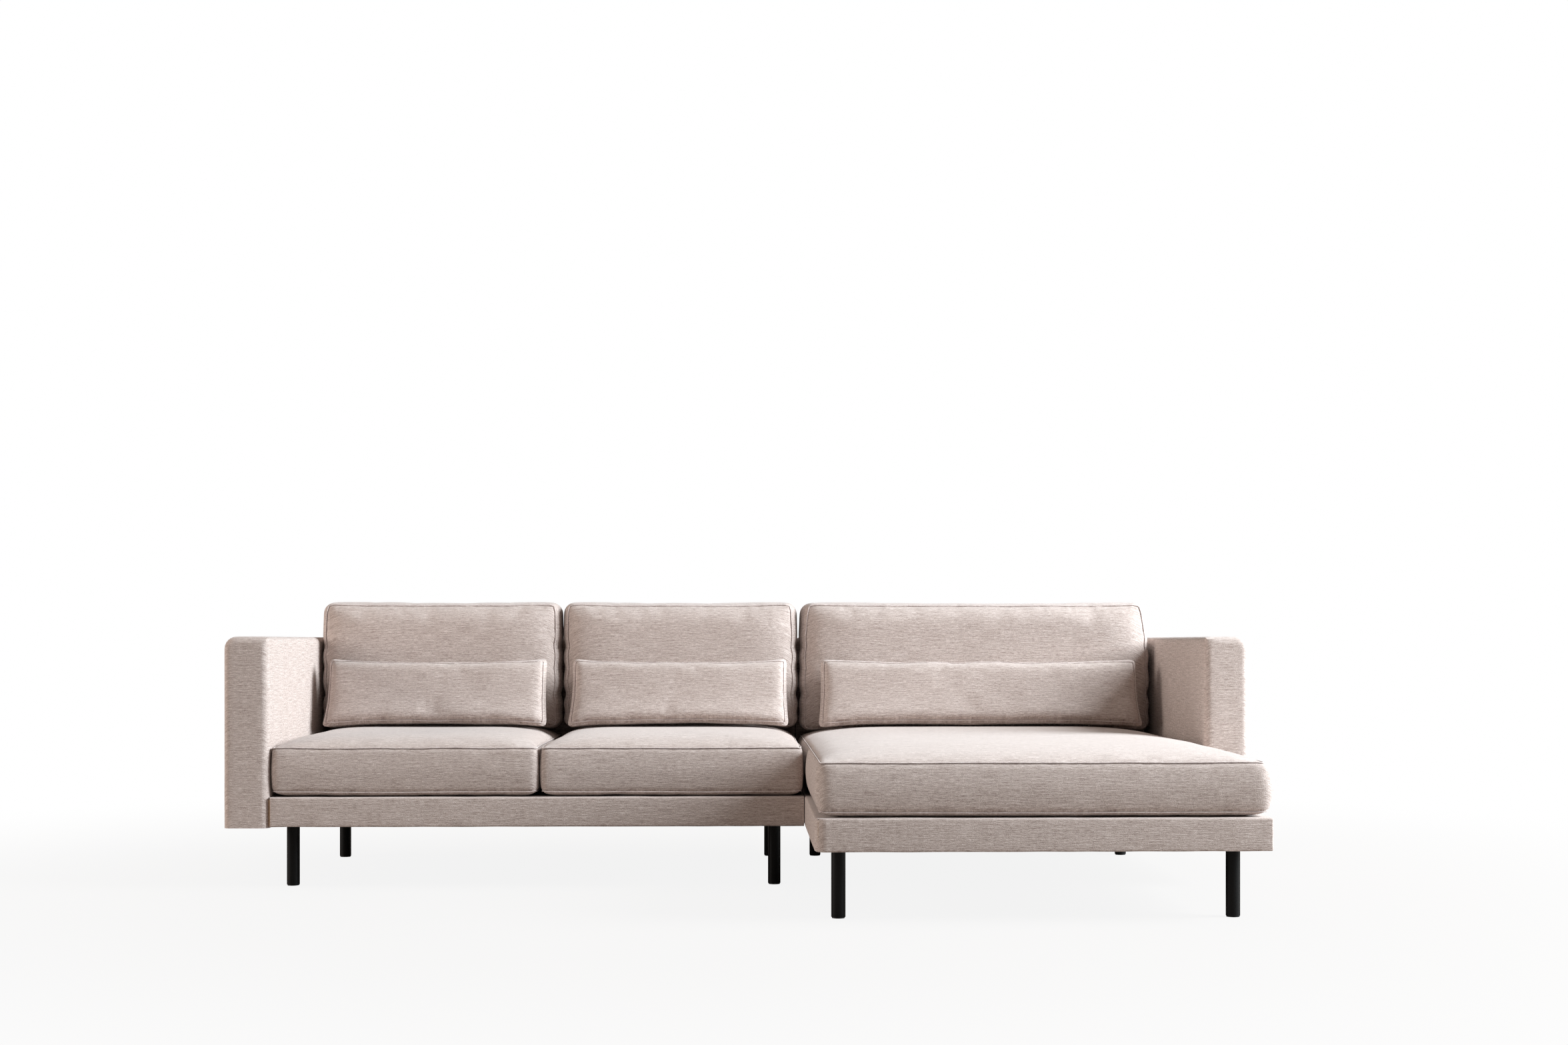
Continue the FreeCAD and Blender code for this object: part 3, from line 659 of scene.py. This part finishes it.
def screw_head():
    """A pan head that hangs below the origin, with a crossed recess."""
    bpy.ops.object.select_all(action="DESELECT")
    bpy.ops.mesh.primitive_cylinder_add(vertices=24, radius=SCREW_RADIUS, depth=SCREW_HEIGHT,
                                        location=(0, 0, -SCREW_HEIGHT / 2))
    bpy.ops.object.transform_apply(location=True, rotation=True, scale=True)
    head = bpy.context.object
    pick_edges(head, lambda at, way: near(at.z, -SCREW_HEIGHT))
    bpy.ops.mesh.bevel(offset=SCREW_RIM, segments=3, profile=0.5, affect="EDGES")
    bpy.ops.object.mode_set(mode="OBJECT")
    for long_axis in (0, 1):
        half = [SLOT_WIDTH / 2, SLOT_WIDTH / 2, SLOT_DEPTH]
        half[long_axis] = SLOT_LENGTH / 2
        low = Vector((-half[0], -half[1], -SCREW_HEIGHT - half[2]))
        cutter = start_box("slot", low, Vector((half[0], half[1], -SCREW_HEIGHT + half[2])))
        slot = head.modifiers.new("slot", "BOOLEAN")
        slot.object = cutter
        slot.operation = "DIFFERENCE"
        bpy.context.view_layer.objects.active = head
        bpy.ops.object.modifier_apply(modifier="slot")
        bpy.data.objects.remove(cutter)
    return head


pattern = screw_head()
print("screw head", len(pattern.data.polygons), "faces")

# %% Copy it to every plate
PLATE_THICKNESS = 3 * MM
SCREW_OFFSET = 26 * MM
SCREW_SMOOTH = radians(40)

screws = []
for leg_name in sorted(name for name in nodes if name.endswith("_leg")):
    low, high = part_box(leg_name)
    for x_side, y_side in ((-1, -1), (-1, 1), (1, -1), (1, 1)):
        screw = pattern.copy()
        screw.data = pattern.data.copy()
        scene.collection.objects.link(screw)
        screw.location = ((low[0] + high[0]) / 2 + x_side * SCREW_OFFSET,
                          (low[1] + high[1]) / 2 + y_side * SCREW_OFFSET, high[2] - PLATE_THICKNESS)
        screws.append(screw)
bpy.data.objects.remove(pattern)
select_only(*screws)
bpy.ops.object.join()
bpy.ops.object.transform_apply(location=True, rotation=True, scale=True)
leg_screws = bpy.context.object
leg_screws.name = "leg_plate_screws"
bpy.ops.object.shade_smooth_by_angle(angle=SCREW_SMOOTH)
finish_piece(leg_screws, zinc, "zinc_steel", "frame")

# %% [markdown]
# ## Sewn cushions
#
# A boxed cushion is two panels joined by a strip, the boxing. Its seams hold it in while the filling pushes
# the panels out, so the faces crown, the sides bulge between the seams and draw in between the corners, and
# the cloth gathers a little along every seam. The blank here is a box cut into small squares, so that the
# seams are real loops of points. It is first shaped by formula, then a cloth simulation under pressure with
# slightly shortened seams adds the gathers, and a limit on how far each point moves keeps the cushion in
# its space. In these helpers u and v run along a cushion's panels, and w from its lower or rear panel to
# the crowned one.

# %% Cushion blank
CORNER_FADE = 0.7
CORNER_LIMIT_SHARE = 0.9
NONE_LEFT = 1e-6


def cushion_blank(name, size, spacing):
    """A box around the origin, cut into even squares on every side."""
    half = Vector(size) / 2
    piece = start_box(name, -half, half)
    for axis in range(3):
        cuts = max(1, round(size[axis] / spacing)) - 1
        if cuts:
            pick_edges(piece, lambda at, way: abs(way[axis]) > 0.9)
            bpy.ops.mesh.subdivide(number_cuts=cuts)
    bpy.ops.object.mode_set(mode="OBJECT")
    return piece


def round_rings(u, v, half_u, half_v, radius):
    """Rounds the corners of nested rectangles of points, and gives each point's way in from the edge."""
    inset = np.minimum(half_u - np.abs(u), half_v - np.abs(v))
    ring_u = half_u - inset
    ring_v = half_v - inset
    corner = np.maximum(radius - CORNER_FADE * inset, 0.0)
    corner = np.minimum(corner, CORNER_LIMIT_SHARE * np.minimum(ring_u, ring_v))
    corner = np.maximum(corner, NONE_LEFT)
    on_side = half_u - np.abs(u) <= half_v - np.abs(v)
    run = np.where(on_side, np.abs(v) - (ring_v - corner), np.abs(u) - (ring_u - corner))
    turn = np.clip(run / corner, 0, 1) * pi / 4
    near_part = corner * np.cos(turn) - corner
    far_part = corner * np.sin(turn) - corner
    bent = run > 0
    new_u = np.where(on_side, ring_u + near_part, ring_u + far_part)
    new_v = np.where(on_side, ring_v + far_part, ring_v + near_part)
    return np.where(bent, np.sign(u) * new_u, u), np.where(bent, np.sign(v) * new_v, v), inset


# %% Soft form of a boxed cushion
ON_PANEL_SHARE = 0.001
WAIST_FADE = 50 * MM


def dome(place, half, reach, fullness):
    """A steep climb from the edge that levels off, from 0 at the edge to 1 past the reach."""
    return 1 - (1 - np.clip((half - np.abs(place)) / reach, 0, 1)) ** fullness


def boxed_form(points, size, seams, form):
    """The soft form of a boxed cushion, and the points of its crowned and its other seam."""
    half_u, half_v, height = size[0] / 2, size[1] / 2, size[2]
    share = points[:, 2] / height + 0.5
    low_seam, high_seam = seams
    is_top = share > 1 - ON_PANEL_SHARE
    is_bottom = share < ON_PANEL_SHARE
    bulge = np.where(is_top | is_bottom, 0, np.sin(pi * share)) ** form["bulge"]
    seam_corner, side_corner = form["corners"]
    corner = seam_corner + (side_corner - seam_corner) * bulge
    u, v, way_in = round_rings(points[:, 0], points[:, 1], half_u, half_v, corner)
    squeeze_u, squeeze_v = (inset * (1 - bulge) for inset in form["seam_insets"])
    waist_u = form["draw"] * (1 - (v / half_v) ** 2)
    waist_v = form["draw"] * (1 - (u / half_u) ** 2)
    edge = np.exp(-way_in / WAIST_FADE)
    u = u - np.sign(u) * (squeeze_u + waist_u * edge) * np.abs(u) / half_u
    v = v - np.sign(v) * (squeeze_v + waist_v * edge) * np.abs(v) / half_v
    reach_u, reach_v = (reach_share * min(half_u, half_v) for reach_share in form["reach_shares"])
    full_u, full_v = form["fullness"]
    climb = dome(points[:, 0], half_u, reach_u, full_u) * dome(points[:, 1], half_v, reach_v, full_v)
    crown_at = high_seam + form["crown"] * climb
    sink = low_seam * (1 - np.clip(way_in / form["foot_reach"], 0, 1)) ** 2
    w = np.where(is_top, crown_at, np.where(is_bottom, sink, low_seam + (high_seam - low_seam) * share))
    at_edge = way_in < NONE_LEFT
    return np.stack([u, v, w], axis=1), is_top & at_edge, is_bottom & at_edge


# %% Cloth simulation
CLOTH_SETTINGS = {"quality": 6, "mass": 0.4, "tension_stiffness": 25, "compression_stiffness": 25,
                  "shear_stiffness": 12, "bending_stiffness": 1.5, "air_damping": 4, "use_pressure": True,
                  "vertex_group_shrink": "seams", "shrink_min": 0.0}
CLOTH_FRAMES = 18
GATHER_REACH = 70 * MM
INNER_SHARE = 0.12
NO_LENGTH = 1e-9


def tree_of(places):
    """A search tree of places."""
    tree = KDTree(len(places))
    for i, place in enumerate(places):
        tree.insert(place, i)
    tree.balance()
    return tree


def gather(piece, seam, pressure, shrink, cap, freedom):
    """Cloth under pressure with shortened seams. Moves are capped, scaled along each axis by the freedom, and
    fade with the way from the seam."""
    group = piece.vertex_groups.new(name="seams")
    group.add([int(i) for i in np.flatnonzero(seam)], 1.0, "REPLACE")
    start = coordinates(piece)
    bpy.context.view_layer.objects.active = piece
    cloth = piece.modifiers.new("cloth", "CLOTH")
    for key, value in {**CLOTH_SETTINGS, "uniform_pressure_force": pressure, "shrink_max": shrink}.items():
        setattr(cloth.settings, key, value)
    cloth.settings.effector_weights.gravity = 0
    cloth.point_cache.frame_start = 1
    cloth.point_cache.frame_end = CLOTH_FRAMES
    for i in range(1, CLOTH_FRAMES + 1):
        scene.frame_set(i)
    bpy.ops.object.modifier_apply(modifier="cloth")
    scene.frame_set(1)
    moved = coordinates(piece) - start
    length = np.linalg.norm(moved, axis=1, keepdims=True)
    moved = moved * (np.tanh(length / cap) * cap / np.maximum(length, NO_LENGTH)) * np.array(freedom)
    tree = tree_of(start[seam])
    way = np.array([tree.find(place)[2] for place in start])[:, None]
    moved *= INNER_SHARE + (1 - INNER_SHARE) * np.exp(-(way / GATHER_REACH) ** 2)
    set_coordinates(piece, start + moved)
    piece.vertex_groups.clear()
    print(piece.name, "gathered, moves up to", round(float(np.abs(moved).max()) / MM, 1), "mm")


# %% Settle and fit
WAVE_STEPS = (3.7, 9.1, 5.3)
WAVE_SEED = 1

# Without a seed, vector noise starts from the clock, and each run would give other waves.
noise.seed_set(WAVE_SEED)


def space_of(node_name, swells=(0, 0)):
    """The corners of a node's box, moved out at its left and right ends by the two swells."""
    low, high = (np.array(corner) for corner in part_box(node_name))
    low[0] -= swells[0]
    high[0] += swells[1]
    return low, high


def waves(points, height, size, seed):
    """Soft seeded waves, as a filling settles unevenly."""
    offset = noise_offset(seed, WAVE_STEPS)
    shift = [noise.noise_vector(Vector(p) / size + offset) for p in points]
    return points + np.array(shift) * height


def subdivide_once(piece):
    """Halves every square with a smooth curve through them."""
    select_only(piece)
    modifier = piece.modifiers.new("smooth", "SUBSURF")
    modifier.levels = 1
    modifier.render_levels = 1
    bpy.ops.object.modifier_apply(modifier="smooth")
    bpy.ops.object.shade_smooth()


def fit_between(piece, low, high):
    """Stretches a piece back into its space, since a shortened seam also makes the whole cushion shorter."""
    points = coordinates(piece)
    found_low, found_high = points.min(axis=0), points.max(axis=0)
    set_coordinates(piece, low + (points - found_low) * (high - low) / (found_high - found_low))


# %% Find a seam
SEAM_STEPS = 3


def seam_order(piece, seam):
    """The numbers of a seam's points in their order round the cushion."""
    found = set(int(i) for i in np.flatnonzero(seam))
    steps = {i: [] for i in found}
    for edge in piece.data.edges:
        a, b = edge.vertices
        if a in found and b in found:
            steps[a].append(b)
            steps[b].append(a)
    loop, previous = [min(found)], None
    while True:
        following = [i for i in steps[loop[-1]] if i != previous]
        if not following or following[0] == loop[0]:
            return loop
        previous = loop[-1]
        loop.append(following[0])


def along_seam(piece, order):
    """The seam's places on the finished cushion, with a smooth curve through them."""
    points = coordinates(piece)[order]
    before, after, later = (np.roll(points, shift, axis=0) for shift in (1, -1, -2))
    path = []
    for step in range(SEAM_STEPS):
        t = step / SEAM_STEPS
        path.append(0.5 * (2 * points + (after - before) * t
                           + (2 * before - 5 * points + 4 * after - later) * t ** 2
                           + (3 * points - before - 3 * after + later) * t ** 3))
    return np.stack(path, axis=1).reshape(-1, 3)


# %% Gather and sew a seam
SEAM_SINK = 2.2 * MM
SINK_REACH = 5 * MM
PUCKER_STEPS = (2.9, 6.1, 4.7)
PUCKER_REACHES = 3


def pucker(piece, path, height, reach, size, seed):
    """Draws the cloth in at a seam, with small gathers beside it that fade with the way from it."""
    offset = noise_offset(seed, PUCKER_STEPS)
    tree = tree_of(path)
    mesh = piece.data
    normals = [vertex.normal.copy() for vertex in mesh.vertices]
    for vertex, normal in zip(mesh.vertices, normals):
        way = tree.find(vertex.co)[2]
        if way < PUCKER_REACHES * reach:
            gathers = height * np.exp(-(way / reach) ** 2) * noise.noise(vertex.co / size + offset)
            vertex.co += normal * (gathers - SEAM_SINK * np.exp(-(way / SINK_REACH) ** 2))
    mesh.update()


def beside(path, lower, outer):
    """A closed path moved down, and outwards from what it surrounds."""
    up = np.array((0, 0, 1))
    ahead = np.roll(path, -1, axis=0) - np.roll(path, 1, axis=0)
    out = np.cross(ahead, up)
    out /= np.maximum(np.linalg.norm(out, axis=1, keepdims=True), NO_LENGTH)
    if np.sum(out * (path - path.mean(axis=0))) < 0:
        out = -out
    return path - up * lower + out * outer


def piping(name, path, radius, body, material=piping_painted_highlight):
    """A sewn edge: a thin round cord along a closed path, by default in lighter cloth that paints the welt's
    highlight.
    """
    data = bpy.data.curves.new(name, "CURVE")
    data.dimensions = "3D"
    data.bevel_depth = radius
    data.bevel_resolution = 2
    spline = data.splines.new("POLY")
    spline.points.add(len(path) - 1)
    for point, place in zip(spline.points, path):
        point.co = (*place, 1)
    spline.use_cyclic_u = True
    piece = bpy.data.objects.new(name, data)
    scene.collection.objects.link(piece)
    select_only(piece)
    bpy.ops.object.convert(target="MESH")
    piece = bpy.context.object
    bpy.ops.object.shade_smooth()
    finish_piece(piece, material, "upholstery", body)


# %% [markdown]
# ### Seat cushions
#
# Seats are firm foam in a fibre wrap: nearly flat in the middle of the top, a soft fall over the last
# hand's width, sides that bulge a few millimetres, and a seam round the top and another just above the
# deck. In front of the right arm nothing holds the chaise's seat, so its side bulges further there.

# %% Sizes of the seats
SEAT_FORM = {"corners": (14 * MM, 20 * MM), "seam_insets": (4 * MM, 5 * MM), "bulge": 0.6, "draw": 1.5 * MM,
             "reach_shares": (0.8, 0.8), "fullness": (5.0, 5.0), "crown": 38 * MM, "foot_reach": 12 * MM}
CHAISE_FORM = {**SEAT_FORM, "corners": (14 * MM, 38 * MM), "seam_insets": (10 * MM, 8 * MM)}
SEAT_SEAMS = (6 * MM, 137 * MM)
SEAT_WAVES = (1.2 * MM, 160 * MM)
SEAT_CLOTH = {"pressure": 2.0, "shrink": 0.02, "cap": 7 * MM, "freedom": (0.4, 0.6, 1.0)}
SEAT_GATHERS = (1.6 * MM, 14 * MM, 26 * MM)
LOW_GATHER_SHARE = 0.6
SEAT_CORD = 1.6 * MM
# Size and place of the dark cord that paints the crease's shade under the top seam.
CREASE_SHADE_LOWER = 2.2 * MM
CREASE_SHADE_OUTER = 0.7 * MM
CREASE_SHADE_RADIUS = 0.55 * MM
FREE_SIDE_BULGE = 23 * MM
FREE_SIDE_FULLNESS = 0.45
FREE_SIDE_FADE = 140 * MM
FREE_SIDE_DEPTH = 80 * MM


def swell_free_side(piece, low, high):
    """Lets the side in front of the right arm bulge between its seams, where nothing holds it."""
    points = coordinates(piece)
    share = np.clip((points[:, 2] - low[2]) / SEAT_SEAMS[1], 0, 1)
    free = np.clip((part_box("right_arm_cover")[0][1] - points[:, 1]) / FREE_SIDE_FADE, 0, 1)
    close = np.exp(-((high[0] - points[:, 0]) / FREE_SIDE_DEPTH) ** 2)
    points[:, 0] += FREE_SIDE_BULGE * np.sin(pi * share) ** FREE_SIDE_FULLNESS * free * close
    set_coordinates(piece, points)


print("seat seams at", [seam / MM for seam in SEAT_SEAMS], "mm")


# %% Make the seat cushions
def seat_cushion(name, spacing, seed, form):
    """One boxed seat in the space of its node."""
    node_name = name + "_seat_cushion"
    low, high = space_of(node_name)
    size = high - low
    blank = (size[0], size[1], SEAT_SEAMS[1] - SEAT_SEAMS[0])
    piece = cushion_blank(name + "_seat", blank, spacing)
    points, top_seam, low_seam = boxed_form(coordinates(piece), blank, SEAT_SEAMS, form)
    points = waves(points, *SEAT_WAVES, seed)
    points = points + np.array([(low[0] + high[0]) / 2, (low[1] + high[1]) / 2, low[2]])
    set_coordinates(piece, points)
    gather(piece, top_seam | low_seam, **SEAT_CLOTH)
    orders = [seam_order(piece, top_seam), seam_order(piece, low_seam)]
    subdivide_once(piece)
    fit_between(piece, low, high)
    if form is CHAISE_FORM:
        swell_free_side(piece, low, high)
    top_path, low_path = (along_seam(piece, order) for order in orders)
    height, reach, gather_size = SEAT_GATHERS
    pucker(piece, top_path, height, reach, gather_size, seed)
    pucker(piece, low_path, height * LOW_GATHER_SHARE, reach, gather_size, seed)
    finish_piece(piece, upholstery, "upholstery", node_name, node_name)
    piping(f"{name}_seat_top_seam", top_path, SEAT_CORD, node_name)
    piping(f"{name}_seat_low_seam", low_path, SEAT_CORD, node_name)
    # A thin dark cord just below and outside the top seam paints the shade of the crease under the welt.
    crease = beside(top_path, CREASE_SHADE_LOWER, CREASE_SHADE_OUTER)
    piping(f"{name}_seat_crease_shade", crease, CREASE_SHADE_RADIUS, node_name, crease_painted_shade)


seat_cushion("left", spacing=15 * MM, seed=11, form=SEAT_FORM)
seat_cushion("middle", spacing=15 * MM, seed=12, form=SEAT_FORM)
seat_cushion("chaise", spacing=17 * MM, seed=13, form=CHAISE_FORM)

# %% [markdown]
# ### Back cushions
#
# The backs are softer than the seats. They stand on the rear of the seat and lean on the low back, their
# boxing is pinched in a few places where the pillow and the arm press on them, and their upper ends come in
# a little, because the filling sinks.

# %% Sizes of the back cushions
BACK_FORM = {"corners": (20 * MM, 36 * MM), "seam_insets": (16 * MM, 5 * MM), "bulge": 0.4, "draw": 1 * MM,
             "reach_shares": (1.0, 0.6), "fullness": (3.0, 4.0), "crown": 30 * MM, "foot_reach": 22 * MM}
BACK_WAVES = (1.6 * MM, 140 * MM)
BACK_CLOTH = {"pressure": 2.0, "shrink": 0.03, "cap": 8 * MM, "freedom": (0.3, 1.0, 0.7)}
BACK_GATHERS = (2.2 * MM, 16 * MM, 24 * MM)
BACK_CORD = 1.5 * MM
PINCH_HEIGHTS = (0.680, 0.612, 0.528, 0.470)
PINCH_DEPTHS = (7 * MM, 5 * MM, 9 * MM, 5 * MM)
PINCH_REACH = 16 * MM
PINCH_WAY_IN = 35 * MM
PINCH_SCATTER = 8 * MM
DRAWN_HEIGHT = 140 * MM
REAR_DRAWN_SHARE = 0.3


def stand_up(points, centre_x, centre_z, rear):
    """Turns a cushion that lies on its rear panel so that it stands and looks forwards."""
    return np.stack([points[:, 0] + centre_x, rear - points[:, 2], points[:, 1] + centre_z], axis=1)


def pinch(points, low, high, seed):
    """Draws the boxing in at a few heights on both ends."""
    moved = points.copy()
    for side, edge in ((-1, low[0]), (1, high[0])):
        way_in = np.abs(points[:, 0] - edge)
        for i, (height, depth) in enumerate(zip(PINCH_HEIGHTS, PINCH_DEPTHS)):
            level = height + PINCH_SCATTER * noise.noise(Vector((seed, side, i)))
            level_with = np.exp(-((points[:, 2] - level) / PINCH_REACH) ** 2)
            moved[:, 0] -= side * depth * (level_with * np.exp(-((way_in / PINCH_WAY_IN) ** 2)))
    return moved


def draw_in(points, width, rise, drawn_in):
    """Moves the left and right ends inwards by the two lengths in drawn_in, as far as the rise says."""
    across = points[:, 0] / width
    moved = points.copy()
    moved[:, 0] += rise * (drawn_in[0] * (0.5 - across) - drawn_in[1] * (0.5 + across))
    return moved


print("pinches at", PINCH_HEIGHTS, "m")


# %% Make the back cushions
def back_cushion(name, spacing, seed, swells, drawn_in):
    """One boxed back cushion in the space of its node, and past its left and right ends by the two swells.
    drawn_in holds how far the top corners of its front come in."""
    node_name = name + "_back_cushion"
    low, high = space_of(node_name, swells)
    size = high - low
    depth = size[1] - BACK_FORM["crown"]
    blank = (size[0], size[2], depth)
    piece = cushion_blank(name + "_back_pad", blank, spacing)
    points, front_seam, rear_seam = boxed_form(coordinates(piece), blank, (0.0, depth), BACK_FORM)
    rise = np.clip(1 - (size[2] / 2 - points[:, 1]) / DRAWN_HEIGHT, 0, 1)
    forward = np.clip(points[:, 2] / depth, 0, 1) ** 2
    points = draw_in(points, size[0], rise * (REAR_DRAWN_SHARE + (1 - REAR_DRAWN_SHARE) * forward), drawn_in)
    points = waves(points, *BACK_WAVES, seed)
    points = stand_up(points, (low[0] + high[0]) / 2, (low[2] + high[2]) / 2, high[1])
    set_coordinates(piece, points)
    gather(piece, front_seam | rear_seam, **BACK_CLOTH)
    set_coordinates(piece, pinch(coordinates(piece), low, high, seed))
    orders = [seam_order(piece, front_seam), seam_order(piece, rear_seam)]
    subdivide_once(piece)
    fit_between(piece, low, high)
    front_path, rear_path = (along_seam(piece, order) for order in orders)
    pucker(piece, front_path, *BACK_GATHERS, seed)
    finish_piece(piece, upholstery, "upholstery", node_name, node_name)
    piping(f"{name}_back_front_seam", front_path, BACK_CORD, node_name)
    piping(f"{name}_back_rear_seam", rear_path, BACK_CORD, node_name)


back_cushion("left", 13 * MM, seed=21, swells=(2 * MM, 6 * MM), drawn_in=(10 * MM, 3 * MM))
back_cushion("middle", 13 * MM, seed=22, swells=(-4 * MM, 8 * MM), drawn_in=(4 * MM, 8 * MM))
back_cushion("chaise", 14 * MM, seed=23, swells=(7 * MM, 2 * MM), drawn_in=(14 * MM, 25 * MM))

# %% [markdown]
# ### Lumbar pillows
#
# A pillow is two panels sewn edge to edge with no boxing, so it thins to a knife edge, its corners stay out
# as small points and the edge waves where the seam gathers. It leans back on the cushion behind it, its
# lower half sags forwards, and a stitched line runs round its front just inside the edge.

# %% Sizes of the pillows
PILLOW_HEIGHT = 208 * MM
PILLOW_THICKNESS = 124 * MM
SEAM_THICKNESS = 2 * MM
PILLOW_LEAN = radians(-10)
PILLOW_CORNER = 14 * MM
PILLOW_WAISTS = (4 * MM, 7 * MM)
PILLOW_WAIST_FADE = 30 * MM
PILLOW_REACHES = (44 * MM, 56 * MM)
FRONT_FULLNESS, REAR_FULLNESS = 4.0, 3.0
PILLOW_BOW = 0.32
PILLOW_SAG = 32 * MM
PILLOW_WAVES = (2.0 * MM, 100 * MM)
PILLOW_CLOTH = {"pressure": 1.2, "shrink": 0.015, "cap": 6 * MM, "freedom": (1.0, 1.0, 1.0)}
PILLOW_GATHERS = (2.4 * MM, 13 * MM, 20 * MM)
PILLOW_CORD = 1.3 * MM


def pillow_form(points, size, spacing):
    """Two domes on one seam, and the points of the seam and of the stitched line."""
    half_u, half_v, thickness = size[0] / 2, size[1] / 2, size[2]
    u, v, way_in = round_rings(points[:, 0], points[:, 1], half_u, half_v, PILLOW_CORNER)
    side = np.sign(points[:, 2])
    waist_u = PILLOW_WAISTS[0] * (1 - (v / half_v) ** 2)
    waist_v = PILLOW_WAISTS[1] * (1 - (u / half_u) ** 2)
    edge = np.exp(-way_in / PILLOW_WAIST_FADE)
    u = u - np.sign(u) * waist_u * edge
    v = v - np.sign(v) * waist_v * edge
    fullness = np.where(side > 0, FRONT_FULLNESS, REAR_FULLNESS)
    climb_u = dome(points[:, 0], half_u, PILLOW_REACHES[0], fullness)
    climb_v = dome(points[:, 1], half_v, PILLOW_REACHES[1], fullness)
    climb = climb_u * climb_v * (1 - PILLOW_BOW * np.abs(u / half_u) ** 4)
    w = side * (SEAM_THICKNESS / 2 + (thickness / 2 - SEAM_THICKNESS / 2) * climb)
    w += PILLOW_SAG * np.clip(-v / half_v, 0, 1) ** 3
    rings = [np.rint((half - np.abs(p)) * np.rint(2 * half / spacing) / (2 * half))
             for half, p in ((half_u, points[:, 0]), (half_v, points[:, 1]))]
    stitched = (side > 0) & (np.minimum(*rings) == 1)
    return np.stack([u, v, w], axis=1), way_in < NONE_LEFT, stitched


print("pillows", PILLOW_HEIGHT / MM, "mm high")


# %% Make the pillows
def pillow(name, spacing, seed, swells, drawn_in):
    """One pillow in the space of its node, and past its left and right ends by the two swells. drawn_in holds
    how far its left and right top corners come in."""
    node_name = name + "_pillow"
    low, high = space_of(node_name, swells)
    width = high[0] - low[0]
    piece = cushion_blank(name + "_lumbar", (width, PILLOW_HEIGHT, SEAM_THICKNESS), spacing)
    size = (width, PILLOW_HEIGHT, PILLOW_THICKNESS)
    points, seam, stitched = pillow_form(coordinates(piece), size, spacing)
    points = waves(points, *PILLOW_WAVES, seed)
    points = draw_in(points, width, points[:, 1] / PILLOW_HEIGHT + 0.5, drawn_in)
    tip = np.array([[1, 0, 0], [0, np.cos(PILLOW_LEAN), -np.sin(PILLOW_LEAN)],
                    [0, np.sin(PILLOW_LEAN), np.cos(PILLOW_LEAN)]])
    points = stand_up(points, 0, 0, 0) @ tip.T
    points = points + (low + high) / 2
    set_coordinates(piece, points)
    gather(piece, seam, **PILLOW_CLOTH)
    order = seam_order(piece, stitched)
    subdivide_once(piece)
    fit_between(piece, low, high)
    path = along_seam(piece, order)
    pucker(piece, path, *PILLOW_GATHERS, seed)
    finish_piece(piece, upholstery, "upholstery", node_name, node_name)
    piping(f"{name}_lumbar_seam", path, PILLOW_CORD, node_name)


pillow("left", 11 * MM, seed=31, swells=(0, 4 * MM), drawn_in=(16 * MM, 0))
pillow("middle", 11 * MM, seed=32, swells=(0, 6 * MM), drawn_in=(14 * MM, 4 * MM))
pillow("chaise", 11 * MM, seed=33, swells=(9 * MM, 15 * MM), drawn_in=(9 * MM, 15 * MM))
